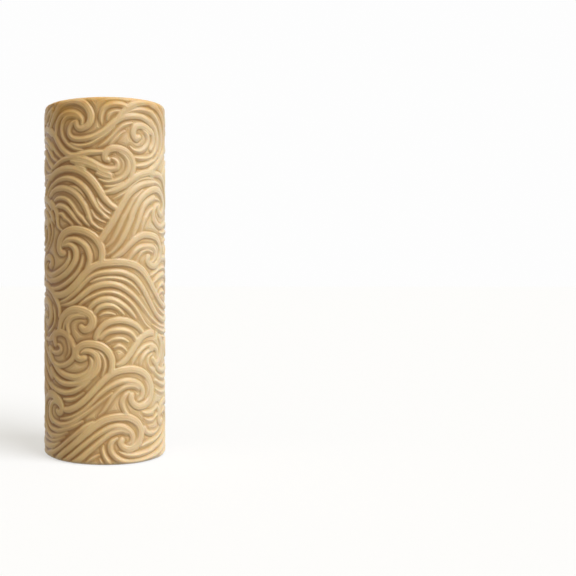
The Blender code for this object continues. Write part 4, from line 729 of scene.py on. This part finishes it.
     (42, 37.6, 1.9), (38.4, 36.9), (34.5, 36.7, 1.9), (30.6, 36.9), (27.7, 37.8, 1.9), (25.9, 39.6, 1.5)],
    [(49.7, 43.3, 0.5), (49.3, 41), (47.9, 38.5, 0.9), (45.2, 36.2), (41.6, 34.8, 1.1), (37.7, 33.9),
     (33.4, 33.6, 1.2), (29.5, 34.2), (26.3, 35.6), (24.1, 37.3), (22, 38.7, 1)],
    [(25, 37.8, 0.7), (23.1, 38.9, 0.6)],
    [(25.4, 29.6, 0.8), (28.1, 28.3), (31.6, 27.5, 1.2), (35.6, 27.6), (39.1, 28.5, 1.1), (42.7, 29.6),
     (44.9, 29.9, 1)],
    [(31.5, 38.4, 0.5), (34.3, 39.5, 1), (37.9, 38.7, 0.5)],
    [(41.3, 23.7, 1.3), (42.4, 26.4), (44.1, 28.9, 2), (46.6, 30.5), (49.9, 32.1, 2.4), (53.1, 33),
     (56.3, 32.8, 2.8), (59.5, 31.4), (61.8, 28.9, 3.1), (62.5, 26), (61.3, 23.3, 2.9), (58.8, 21.7),
     (56.3, 21.5, 2.1), (54.9, 23), (55.9, 24.4, 1.4)],
    [(50.2, 36.2, 1), (53.1, 37.6), (56.3, 38.5, 2), (59.9, 38.5), (63.1, 37.3, 2.4), (65.9, 35.3),
     (68.1, 32.8, 2.2), (69.3, 29.9), (69.1, 27.1, 1.8), (67.9, 25.1), (66.6, 23.7, 0.8)],
    [(57.4, 35.8, 0.5), (60.2, 34.9), (63.1, 33, 0.9), (65.4, 30.6), (66.5, 28.1), (66.4, 26.4, 0.5)],
    [(44.9, 23.5, 0.5), (45.6, 25.3), (47.4, 27.3, 0.7), (49.1, 28.3, 0.5)],
    [(46.6, 20.6, 1.2), (47.2, 23.1), (48.4, 25.6, 1.4), (50.6, 28.1), (53.4, 29.4, 1.7), (56.3, 29.2),
     (58.4, 27.8, 1.1), (59.5, 26, 0.6)],
    [(56.6, 26.4, 0.7), (54.5, 26.4), (52.4, 25.1, 1.4), (51.4, 22.8), (52.2, 20.3, 1.6), (54.1, 18),
     (56.6, 16.7, 1.2), (59.5, 16.4), (62, 16, 0.9)],
    [(31.6, 15.8, 1.5), (30, 14.9), (28.4, 15.8, 2.3), (28.3, 18.1), (29.1, 20.6, 2.6), (31.3, 22.6),
     (34.5, 23.5, 2.3), (38.1, 23.1), (41.6, 22.1, 2.5), (44.9, 20.5), (47, 18.1, 2.7), (48.1, 15.3),
     (47.5, 12.4, 2.3), (46.3, 9.6), (44.1, 6.4, 1.3), (41.6, 4), (38.4, 2.3, 1.5), (35.2, 1.2),
     (32, 0.6, 1.8), (29.1, -0.1, 1.4)],
    [(32.9, 20.3, 0.6), (36.3, 20.8), (39.1, 20.1, 1.2), (42, 18.1), (43.6, 15.3, 1.8), (43.4, 12.4),
     (41.3, 9.2, 1.8), (38.1, 6.7), (34.5, 4.7, 1.8), (30.2, 3.1), (25.6, 2.1, 1.8), (22, 1.4, 1.7)],
    [(30.8, 18.7, 0.8), (33.4, 19.6), (36.3, 19.2, 1.8), (38.4, 17.6), (39.1, 14.9, 2.1), (38.1, 12.4),
     (35.6, 9.9, 1.9), (32.4, 8.1), (28.4, 6.5, 1.6), (24.9, 5.5), (22, 4.6, 1.5)],
    [(32.5, 18.1, 0.6), (34.1, 17.3), (35, 15.6, 1), (34.3, 13.7), (32.4, 11.9, 1), (29.5, 10.3),
     (25.9, 9, 1.3), (22, 8.1, 1.4)],
    [(22, 12.1, 1), (24.1, 11.5, 1.3), (26.3, 12.1), (28.6, 13.3, 0.7)],
    [(22, 16.9, 1), (24.1, 17.4), (26.5, 18.8, 0.9)],
    [(22, 20.5, 1.2), (24.1, 21), (26.6, 22.3, 1.3), (27.4, 20.8, 1.6)],
    [(49.7, 14, 1.2), (52.4, 15.3), (55.2, 15.8, 1.5), (58.1, 15.8, 1)],
    [(44.1, 7.1, 0.9), (47, 9.6), (50.2, 11.7, 1.7), (54.1, 13.1), (58.1, 14, 2.2), (61.6, 14.4),
     (65.2, 14.2, 2.1), (68.1, 13.7), (70.6, 13.1, 2.1)],
    [(62.6, 15.9, 0.7), (65.4, 15.8), (68.1, 14.9, 0.8)],
    [(40.9, 0.1, 0.9), (44.1, 2.1), (47.7, 4.6, 1.2), (51.3, 6.7), (55.2, 8.3, 1.8), (59.1, 9.2),
     (63.1, 9.6, 1.9), (66.6, 9.4), (70.6, 8.7, 1.8)],
    [(47.7, 0.1, 1.1), (50.2, 1.9), (53.1, 3.5, 1.5), (56.3, 4.9), (59.9, 5.5, 1.7), (63.8, 5.5),
     (67.4, 4.7, 1.7), (70.6, 3.9, 1.5)],
    [(53.1, 0.1, 1), (55.9, 1.5), (59.1, 2.1, 1.4), (62.7, 2.1), (66.3, 1.2), (68.8, 0.1, 1)],
    [(50.6, 50.5, 1.3), (54.1, 51), (58.5, 51.6), (62.7, 50.9, 2), (65.9, 49.2), (68.8, 47.8, 2),
     (70.6, 47.1, 1.8)],
    [(52.7, 48.3, 0.6), (55.9, 49, 1.1), (59.1, 48.9), (62.4, 48, 0.5)],
    [(54.5, 46, 1), (57.4, 46.5), (60.6, 46.5, 1), (64.1, 46, 0.5)],
    [(55, 42.1, 1.4), (57.4, 43.3), (60.6, 43.9, 1.8), (64.1, 43.7), (67.4, 42.8, 1.7), (70.6, 41.5, 1.6)],
    [(58.8, 39.9, 0.6), (63.1, 40.5, 1.1), (66.6, 39.8), (70.6, 38.5, 1.3)],
    [(68.8, 36.5, 0.5), (70.8, 35.6, 1)],
    [(63.1, 19, 0.6), (65.6, 20.6), (68.4, 22.6, 1.3), (70.6, 23.9, 1.6)],
    [(65.4, 16, 0.6), (67.7, 18), (70.6, 19.6, 1.1)],
    [(69.1, 14.9, 0.9), (70.6, 15.8, 1.3)],
    [(68.8, 48.9, 0.8), (70.4, 50.5, 1.1)],
    # the strip across the back: its ribs join the waves of the right side to those of the left
    [(70.6, 147.6, 1.3), (73.5, 149), (77, 149.4, 0.8)],
    [(70.6, 141.4, 1.6), (74, 139.6), (77.5, 139.8, 1.6), (80.5, 141.9), (83.5, 144.4), (86.5, 146),
     (89.7, 147, 1.4)],
    [(77.5, 143.6, 0.7), (80.5, 146), (84, 148, 1.2), (87, 149.6, 1)],
    [(70.6, 137.6, 1.3), (74, 135.9), (78, 135.8, 1.3), (82, 138), (86, 141.3, 1.2), (89.7, 143.3, 1.1)],
    [(78.5, 133.2, 0.7), (82, 134.6), (86, 137.6, 1), (89.7, 139.4, 0.8)],
    [(81, 131.2, 0.6), (85, 133.8), (88.5, 137, 1.2), (90.6, 138.3, 1.2)],
    [(70.6, 131.2, 2), (74, 128.5), (78, 126.3, 2), (82, 126.3), (86, 127.8, 1.6), (89.9, 130.3, 1.3)],
    [(74.5, 124, 0.7), (78, 122.4), (82, 122.2, 1.3), (86, 123), (90.3, 124.6, 0.6)],
    [(70.9, 116.5, 1.4), (73.5, 119.3), (77.5, 119.9, 1.4), (82, 118.6), (86, 118.2, 1.1),
     (89.7, 119.2, 0.9)],
    [(70.6, 112.4, 1.1), (73, 115.2), (76.5, 116.6, 1.3), (80.5, 115.2), (84.5, 113.3, 1.1),
     (89.7, 113.9, 1.2)],
    [(70.8, 109.2, 1), (73, 111.8), (76, 113.3, 1.1), (79.5, 112), (83, 109.8), (86.5, 109),
     (89.7, 110.1, 1)],
    [(70.6, 101.9, 1.9), (73.5, 99.2), (76.5, 97.7, 2), (80, 98.6), (82.5, 101.3), (83.2, 104.6),
     (81.3, 107.2, 1.8), (78.3, 107.9), (75.6, 106.4, 1.6), (75.3, 104.1), (77, 103.1, 1.2)],
    [(69.9, 100.6, 1.4), (73, 97.5), (76.5, 95.7, 1.2), (81, 96.3), (85.5, 99.2, 1.1), (87.5, 103),
     (89.7, 105.1, 0.9)],
    [(70.6, 97.1, 1.1), (74.5, 94.2), (79, 93.4, 1.2), (84, 95.6), (89.5, 100, 0.8)],
    [(70.6, 93.5, 1.5), (74.5, 91.4), (79.5, 91, 1.2), (84.5, 93.6), (89.5, 97, 0.9)],
    [(69.5, 87.1, 1), (73.5, 87.6), (78, 88.4, 1.6), (83, 89.4), (89.5, 91.3, 2.2)],
    [(70.6, 85.6, 1.2), (75, 85.1), (80, 85, 1.6), (85, 85.5), (89.5, 86.7, 2)],
    [(72, 82.4, 0.6), (78, 82), (84, 81.7, 1), (90.5, 81.5, 0.5)],
    [(70.6, 78.9, 2.5), (77, 79.5), (83, 79.5, 2.5), (89.5, 78.5, 2.7)],
    [(70.6, 76.4, 1.1), (77, 76.4), (83, 76, 1), (89.5, 75.1, 1)],
    [(70.6, 72.6, 1.5), (77, 72.8), (83, 73.4, 1.5), (89.5, 73.2, 1.5)],
    [(70.6, 69.6, 2), (77, 69.2), (83, 70, 1.6), (89.5, 70, 1.5)],
    [(70.6, 64.9, 1.8), (76.5, 63.6), (83, 64, 2), (89.5, 65, 2.4)],
    [(73, 61.6, 0.6), (78.5, 60.6), (84, 61.2, 1.1), (89.5, 61.7, 1.2)],
    [(70.6, 55.3, 1.2), (75.5, 57.5), (82, 58.6, 1.1), (89.5, 59, 1)],
    [(70.4, 50.5, 1.1), (75, 53.5), (81, 55.4, 1.1), (87, 55.5, 0.6)],
    [(70.6, 47.1, 1.8), (76, 46.8), (82, 48.4, 1.8), (89.5, 50.5, 1.9)],
    [(76.5, 50, 0.6), (82, 52), (88, 53, 1)],
    [(70.6, 41.5, 1.6), (76.5, 41.2), (83, 43.6, 1.6), (89.6, 46, 1.6)],
    [(70.6, 38.5, 1.3), (77, 37.8), (83.5, 39.6, 1.2), (89.6, 41.5, 1.1)],
    [(70.8, 35.6, 1), (77, 34.4), (83.5, 35.8, 1.4), (89.6, 37.1, 1.6)],
    [(73.5, 31.4, 0.6), (79.5, 31), (85, 33), (89.6, 34.4, 1.1)],
    [(75, 27.8, 0.7), (80.5, 28), (86, 29.8, 1.1), (91, 31, 0.7)],
    [(70.6, 23.9, 1.6), (75.5, 25.4), (80.5, 25.6, 1.8), (85, 24.6), (89.6, 24.3, 1.8)],
    [(70.6, 19.6, 1.1), (75.5, 21.6), (81, 21.7, 1.3), (85.5, 20.7), (89.6, 20.1, 1.4)],
    [(70.6, 15.8, 1.3), (75.5, 17.4), (81, 17.5, 1.5), (85.5, 16.3), (89.6, 15.7, 1.6)],
    [(70.6, 13.1, 2.1), (76, 12.7), (82, 13, 1.7), (89.6, 12.1, 1.4)],
    [(70.6, 8.7, 1.8), (76.5, 8), (83, 8.8, 1.5), (89.6, 8.3, 1.3)],
    [(70.6, 3.9, 1.5), (76.5, 3.2), (83, 4.2, 1.3), (89.6, 3.8, 1.1)],
    [(73, 0, 0.8), (79, -0.2), (85, 0.7, 1), (89.6, 0.6, 0.8)],
]


def smooth_line(points, spacing):
    """Points about that far apart on a smooth curve through the given ones, each (u, v, breadth)."""
    marked = [(i, p[2]) for i, p in enumerate(points) if len(p) > 2]
    breadth = np.interp(range(len(points)), [i for i, _ in marked], [b for _, b in marked])
    drawn = np.array([(p[0], p[1], b) for p, b in zip(points, breadth)], float)
    ends = np.vstack([2 * drawn[0] - drawn[1], drawn, 2 * drawn[-1] - drawn[-2]])
    line = [drawn[0]]
    for i in range(1, len(ends) - 2):
        before, start, end, after = ends[i - 1], ends[i], ends[i + 1], ends[i + 2]
        count = max(1, int(math.ceil(np.hypot(*(end - start)[:2]) / spacing)))
        for k in range(1, count + 1):
            t = k / count
            point = 0.5 * (
                2 * start
                + (end - before) * t
                + (2 * before - 5 * start + 4 * end - after) * t**2
                + (3 * start - before - 3 * end + after) * t**3
            )
            line.append(point)
    line = np.array(line)
    line[:, 2] = np.maximum(line[:, 2], least_breadth)
    return line


def softened(heights, passes):
    """Light blur, round the sheet and up it, as a soft mould leaves."""
    for _ in range(passes):
        heights = (np.roll(heights, 1, 1) + 2 * heights + np.roll(heights, -1, 1)) / 4
        padded = np.vstack([heights[:1], heights, heights[-1:]])
        heights = (padded[:-2] + 2 * padded[1:-1] + padded[2:]) / 4
    return heights


def rib_lift(away, half):
    """A rib's height at a place that far from its middle line, where half is half the rib's breadth."""
    edge = np.clip((half + rib_slope - away) / (rib_slope + side_share * half), 0, 1)
    crown = 1 - crown_share * half * np.clip(away / half, 0, 1) ** 2
    return edge * edge * (3 - 2 * edge) * crown * np.clip(thin_rib_share + broad_rib_share * half, 0, 1)


def places_near(start, end, step_u, step_v, rows):
    """The first and last row and column of the sheet that a stretch of rib and its groove can reach."""
    reach = (rib_swell * max(start[2], end[2]) + rib_spread) / 2 + groove_floor + groove_bank
    first_row = max(0, int((min(start[1], end[1]) - reach) / step_v))
    last_row = min(rows - 1, int(math.ceil((max(start[1], end[1]) + reach) / step_v)))
    first_column = int((min(start[0], end[0]) - reach) / step_u) - 1
    last_column = int(math.ceil((max(start[0], end[0]) + reach) / step_u)) + 1
    return first_row, last_row, first_column, last_column


def carved_sheet(step):
    """How high the sheet stands, from 0, a groove's floor, to 1, a rib's top, and how far each place is from
    the middle line of its nearest rib: two grids, with rows up v and columns round u."""
    columns = int(round(sheet_girth / step))
    step_u = sheet_girth / columns
    rows = int(round(sheet_length / step)) + 1
    step_v = sheet_length / (rows - 1)
    far_off = 9.0
    stretch = 0.6
    shortest = 1e-9
    heights = np.zeros((rows, columns))
    clear = np.full((rows, columns), far_off)
    from_middle = np.zeros((rows, columns))
    for points in wave_ribs:
        line = smooth_line(points, stretch)
        for start, end in zip(line[:-1], line[1:]):
            first_row, last_row, first_column, last_column = places_near(start, end, step_u, step_v, rows)
            if last_row < first_row:
                continue
            v_rows = np.arange(first_row, last_row + 1)
            u_columns = np.arange(first_column, last_column + 1)
            along = end - start
            length_squared = max(shortest, along[0] ** 2 + along[1] ** 2)
            du = (u_columns * step_u)[None, :] - start[0]
            dv = (v_rows * step_v)[:, None] - start[1]
            share = np.clip((du * along[0] + dv * along[1]) / length_squared, 0, 1)
            away = np.hypot(du - share * along[0], dv - share * along[1])
            half = (rib_swell * (start[2] + share * along[2]) + rib_spread) / 2
            here = slice(first_row, last_row + 1), u_columns % columns
            from_middle[here] = np.where(away - half < clear[here], away, from_middle[here])
            heights[here] = np.maximum(heights[here], rib_lift(away, half))
            clear[here] = np.minimum(clear[here], away - half)
    bank = np.clip((clear - groove_floor) / groove_bank, 0, 1)
    ground = softened(ground_share * bank * bank * (3 - 2 * bank), passes=5)
    return np.maximum(heights, ground), from_middle


mesh_step = 0.3
heights, from_middle = carved_sheet(mesh_step)
heights = softened(heights, passes=1)
rows, columns = heights.shape

# The sheet is a grid, rolled up: each row is a ring. Rows near an end follow the rim's round.
quarter = math.pi / 2
arc_length = quarter * rim_round
profile_length = sleeve_length - 2 * rim_round + 2 * arc_length
ring_count = int(round(profile_length / (mesh_step * square)))
bpy.ops.mesh.primitive_grid_add(x_subdivisions=columns, y_subdivisions=ring_count, size=1)
sleeve = bpy.context.object
sleeve.name = sleeve.data.name = "carved_sleeve"
flat = np.zeros(len(sleeve.data.vertices) * 3)
sleeve.data.vertices.foreach_get("co", flat)
flat = flat.reshape(-1, 3)
turn = (flat[:, 0] + 0.5) * 2 * math.pi - math.pi
along = (flat[:, 1] + 0.5) * profile_length
low_angle = np.clip(along / rim_round, 0, quarter)
high_angle = np.clip((profile_length - along) / rim_round, 0, quarter)
straight = np.clip(along - arc_length, 0, sleeve_length - 2 * rim_round)
z = straight + rim_round + rim_round * (np.sin(quarter - high_angle) - np.sin(quarter - low_angle))
round_in = 2 - np.sin(low_angle) - np.sin(high_angle)
ring_radius = sleeve_radius - rim_round * round_in
u_cell = turn / (2 * math.pi) * columns
v_cell = z / square / (sheet_length / (rows - 1))
column_0 = np.floor(u_cell).astype(int)
row_0 = np.clip(np.floor(v_cell).astype(int), 0, rows - 2)
share_u = u_cell - column_0
share_v = np.clip(v_cell - row_0, 0, 1)
column_left, column_right = column_0 % columns, (column_0 + 1) % columns


def read_sheet(values):
    """The sheet's values at the mesh's points, between its four nearest grid places."""
    below = values[row_0, column_left] * (1 - share_u) + values[row_0, column_right] * share_u
    above = values[row_0 + 1, column_left] * (1 - share_u) + values[row_0 + 1, column_right] * share_u
    return below * (1 - share_v) + above * share_v


# The relief fades out over the rounded rims, where what is left of it cuts inwards and along the sleeve.
fade_share = 1.15
lengthwise_share = 0.5
height = read_sheet(heights)
fade = np.clip(1 - fade_share * round_in, 0, 1)
carve = relief_depth * (1 - height) * fade
outward = np.sin(low_angle) * np.sin(high_angle)
radius = ring_radius - carve * outward
z = z + carve * np.where(z < sleeve_length / 2, 1, -1) * (1 - outward) * lengthwise_share
rolled = np.stack([radius * np.sin(turn), -radius * np.cos(turn), z], 1)
sleeve.data.vertices.foreach_set("co", rolled.ravel())
for name, values in (("carve_depth", 1 - height), ("from_middle", read_sheet(from_middle))):
    marks = sleeve.data.attributes.new(name, "FLOAT", "POINT")
    marks.data.foreach_set("value", (values * fade).astype(np.float32))

# The rolled sheet's two edges are joined, and the mesh is thinned where the surface is flat.
seam_gap = 0.01 * MM
most_faces = 190000
bpy.ops.object.mode_set(mode="EDIT")
bpy.ops.mesh.select_all(action="SELECT")
bpy.ops.mesh.remove_doubles(threshold=seam_gap)
bpy.ops.object.mode_set(mode="OBJECT")
thin = sleeve.modifiers.new("thin", "DECIMATE")
thin.ratio = min(1.0, most_faces / (2 * len(sleeve.data.polygons)))
bpy.ops.object.modifier_apply(modifier="thin")


def select_rim(shape_data, height_wanted):
    """Selects the open edge loop at that height, and nothing else."""
    near = 0.2 * MM
    shape = bmesh.from_edit_mesh(shape_data)
    for edge in shape.edges:
        edge.select_set(edge.is_boundary and abs(edge.verts[0].co.z - height_wanted) < near)
    shape.select_flush_mode()
    bmesh.update_edit_mesh(shape_data)


def step_rim(move, radius_from, radius_to):
    """Draws the selected loop on to a new radius, and up or down by move."""
    ratio = radius_to / radius_from
    bpy.ops.mesh.extrude_edges_move(TRANSFORM_OT_translate={"value": (0, 0, move)})
    bpy.ops.transform.resize(value=(ratio, ratio, 1), center_override=(0, 0, 0))


# The end faces and the bore, with the chamfer that lets the plug in: each rim's loop is drawn inwards.
rim_radius = sleeve_radius - rim_round
bore_gap = 0.005 * MM
crease = math.radians(50)
for end_height, inward in ((0.0, 1), (sleeve_length, -1)):
    bpy.ops.object.mode_set(mode="EDIT")
    bpy.ops.mesh.select_mode(type="EDGE")
    bpy.ops.mesh.select_all(action="DESELECT")
    select_rim(sleeve.data, end_height)
    step_rim(0, rim_radius, bore_radius + bore_chamfer)
    step_rim(inward * bore_chamfer, bore_radius + bore_chamfer, bore_radius)
    step_rim(inward * (sleeve_length / 2 - bore_chamfer), bore_radius, bore_radius)
    bpy.ops.object.mode_set(mode="OBJECT")
bpy.ops.object.mode_set(mode="EDIT")
bpy.ops.mesh.select_all(action="SELECT")
bpy.ops.mesh.remove_doubles(threshold=bore_gap)
bpy.ops.mesh.normals_make_consistent(inside=False)
bpy.ops.object.mode_set(mode="OBJECT")
bpy.ops.object.shade_smooth_by_angle(angle=crease)

# The resin is paler on the crests, and the grooves are painted honey to dark brown as shade in the recesses.
# Towards the viewer's right, on the lamp's side, a milky sheen is painted on, the grooves are painted lighter
# and the painted groove shade fades, so painted shade lies heavier on the left. Amber blotches show under the
# upper rim, heavier on the left too. Places are shares of the sleeve's radius.
resin_pale = (0.70, 0.515, 0.255)
resin_deep = (0.60, 0.395, 0.19)
# Painted sheen: the pale, milky colour that the lit right side is painted towards.
resin_sheen = (0.71, 0.60, 0.43)
# Painted shade for the grooves, and a lighter form of it where the lamp on the right reaches in.
resin_groove_shade = (0.26, 0.098, 0.004)
resin_groove_lit = (0.64, 0.37, 0.06)
resin_amber = (0.60, 0.34, 0.07)
# The painted sheen grows over these shares of the radius towards the right.
sheen_start_share, sheen_end_share, sheen_most = -0.3, 1.0, 0.7
# Painted shade on the side away from the lamp: full at the left, fading over these shares to the right.
left_shade_start_share, left_shade_end_share, left_shade_least = -0.7, 0.8, 0.55
# Carve depth at which the painted groove shade starts.
groove_shade_start = 0.3
amber_start, amber_full = sleeve_length - 12 * MM, sleeve_length - 4 * MM
blotch_size, blotch_start, blotch_full, blotch_least = 75, 0.42, 0.62, 0.12
streak_pitch = 1.1
streak_height = 0.04 * MM
resin_finish = grained_finish(
    "cast_resin",
    resin_pale,
    resin_deep,
    patch=38,
    grain=2600,
    rough=0.40,
    rough_spread=0.12,
    bump=0.12,
    bump_depth=0.03 * MM,
)
tree = resin_finish.node_tree
shader = tree.nodes["Principled BSDF"]
gloss = {"IOR": 1.5, "Specular IOR Level": 0.3, "Coat Weight": 0.2, "Coat Roughness": 0.3}
glow = {"Subsurface Weight": 0.45, "Subsurface Radius": (1.0, 0.55, 0.25), "Subsurface Scale": 2 * MM}
fill_sockets(tree, shader, {**gloss, **glow})

place = tree.nodes.new("ShaderNodeTexCoord").outputs["Object"]
across = added(tree, "ShaderNodeSeparateXYZ", "X", {"Vector": place})
upward = added(tree, "ShaderNodeSeparateXYZ", "Z", {"Vector": place})
sunk = added(tree, "ShaderNodeAttribute", "Fac", {}, attribute_name="carve_depth")
# Painted sheen: the crests turn pale and milky towards the lamp on the viewer's right.
sheen_share = ranged(
    tree, across, sheen_start_share * sleeve_radius, sheen_end_share * sleeve_radius, high=sheen_most
)
# Painted shade: the left side, away from the lamp, gets more of the groove shade and of the amber.
left_shade_share = ranged(
    tree, across, left_shade_start_share * sleeve_radius, left_shade_end_share * sleeve_radius, low=1.0, high=left_shade_least
)
crest_colour = blended(tree, sheen_share, tree.nodes["grain"].outputs["Color"], (*resin_sheen, 1))
# Painted shade in the grooves: dark on the left, and painted lighter towards the lamp on the right.
groove_shade_colour = blended(tree, sheen_share, (*resin_groove_shade, 1), (*resin_groove_lit, 1))
groove_shade_share = worked_out(tree, "MULTIPLY", ranged(tree, sunk, groove_shade_start, 1.0), left_shade_share)
with_groove_shade = blended(tree, groove_shade_share, crest_colour, groove_shade_colour)
blotches = ranged(tree, noise(tree, place, blotch_size), blotch_start, blotch_full, low=blotch_least)
# Amber blotches under the upper rim, weighted by the painted shade so that they lie heavier on the left.
under_rim = worked_out(tree, "MULTIPLY", ranged(tree, upward, amber_start, amber_full), left_shade_share)
amber_share = worked_out(tree, "MULTIPLY", under_rim, blotches)
fill_sockets(tree, shader, {"Base Color": blended(tree, amber_share, with_groove_shade, (*resin_amber, 1))})

# Fine lines run along each crest: a ripple in the distance from the rib's middle.
rib_middle = added(tree, "ShaderNodeAttribute", "Fac", {}, attribute_name="from_middle")
ripple = worked_out(tree, "COSINE", worked_out(tree, "MULTIPLY", rib_middle, 2 * math.pi / streak_pitch))
pitted = tree.nodes["pits"].outputs["Normal"]
streaks = {"Strength": 1.0, "Distance": streak_height, "Height": ripple, "Normal": pitted}
fill_sockets(tree, shader, {"Normal": added(tree, "ShaderNodeBump", "Normal", streaks)})
sleeve.data.materials.append(resin_finish)
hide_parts("texture_sleeve")
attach(sleeve, "roller")

# The end plugs: cream moulded plastic, pressed into the tube's ends, each with two notches to pry it out by.
# Their CAD meshes have the real shape, so they only get the satin finish of a textured mould.
plug_cream = (0.70, 0.58, 0.40)
plug_shadow = (0.62, 0.49, 0.32)
plug_finish = grained_finish(
    "moulded_plug",
    plug_cream,
    plug_shadow,
    patch=80,
    grain=1900,
    rough=0.40,
    rough_spread=0.14,
    bump=0.3,
    bump_depth=0.05 * MM,
)
cover("upper_end_plug", plug_finish)
cover("lower_end_plug", plug_finish)

# The axle bushes: natural nylon, turned and split, clipped into the plugs' hubs so that they turn in them.
# The CAD meshes are kept, with the waxy, faintly yellow look of nylon that a steel rod has polished.
nylon_clean = (0.80, 0.77, 0.69)
nylon_polished = (0.74, 0.69, 0.57)
nylon_finish = grained_finish(
    "waxy_nylon",
    nylon_clean,
    nylon_polished,
    patch=120,
    grain=1400,
    rough=0.34,
    rough_spread=0.16,
    bump=0.2,
    bump_depth=0.03 * MM,
)
tree = nylon_finish.node_tree
waxy = {"Subsurface Weight": 0.2, "Subsurface Radius": (1.0, 0.9, 0.7), "Subsurface Scale": 1 * MM}
fill_sockets(tree, tree.nodes["Principled BSDF"], waxy)
cover("upper_axle_bush", nylon_finish)
cover("lower_axle_bush", nylon_finish)

# The studio: a pale floor and a dim warm surround, both of which look white where the camera sees them
# directly, mirrored in gloss or through glass, and two soft lamps.
floor_size = 6.0
floor_gap = 0.1 * MM
floor_grey = (0.359, 0.371, 0.396)
floor_lift = 0.585
world_light = (0.34, 0.29, 0.18)
world_white = (0.985, 0.985, 0.985)


def seen_directly(tree):
    """A socket that is 1 where the camera sees a surface, straight or mirrored in gloss or through glass."""
    path = tree.nodes.new("ShaderNodeLightPath").outputs
    seen = worked_out(tree, "MAXIMUM", path["Is Camera Ray"], path["Is Glossy Ray"])
    return worked_out(tree, "MAXIMUM", seen, path["Is Transmission Ray"])


bpy.ops.object.select_all(action="DESELECT")
bpy.ops.mesh.primitive_plane_add(size=floor_size, location=(0, 0, -floor_gap))
floor = bpy.context.object
floor.name = "studio_floor"
floor_paint = bpy.data.materials.new("studio_floor")
floor_paint.use_nodes = True
tree = floor_paint.node_tree
shader = tree.nodes["Principled BSDF"]
fill_sockets(tree, shader, {"Base Color": (*floor_grey, 1), "Roughness": 1.0, "Specular IOR Level": 0.0})
lift = worked_out(tree, "MULTIPLY", seen_directly(tree), floor_lift)
fill_sockets(tree, shader, {"Emission Color": (1, 1, 1, 1), "Emission Strength": lift})
floor.data.materials.append(floor_paint)

world = bpy.data.worlds.new("studio_white")
bpy.context.scene.world = world
world.use_nodes = True
tree = world.node_tree
sky = blended(tree, seen_directly(tree), (*world_light, 1), (*world_white, 1))
fill_sockets(tree, tree.nodes["Background"], {"Color": sky})


def studio_sun(name, strength, colour, azimuth, elevation, spread):
    """A soft distant lamp. Azimuth 0 is the camera's side, and positive is to the viewer's right."""
    lamp = bpy.data.lights.new(name, "SUN")
    lamp.energy = strength
    lamp.color = colour
    lamp.angle = math.radians(spread)
    holder = bpy.data.objects.new(name, lamp)
    bpy.context.scene.collection.objects.link(holder)
    holder.rotation_euler = (math.radians(90 - elevation), 0, math.radians(azimuth))


studio_sun("key_lamp", strength=3.35, colour=(0.985, 0.99, 1.0), azimuth=50, elevation=45, spread=45)
studio_sun("fill_lamp", strength=0.25, colour=(1.0, 0.78, 0.52), azimuth=-50, elevation=30, spread=60)

# The camera stands in front of the roller at a little over half its height. The shift puts the roller at
# the left of the picture, as in the photograph.
eye_distance = 375 * MM
eye_height = 81.1 * MM
lens = bpy.data.cameras.new("photo_camera")
lens.sensor_width = 36
lens.lens = 53.75
lens.shift_x = 0.318
lens.shift_y = -0.0384
lens.clip_start = 10 * MM
camera = bpy.data.objects.new("photo_camera", lens)
bpy.context.scene.collection.objects.link(camera)
camera.location = (0, -eye_distance, eye_height)
camera.rotation_euler = (math.radians(90), 0, 0)
bpy.context.scene.camera = camera
bpy.context.scene.view_settings.view_transform = "Standard"
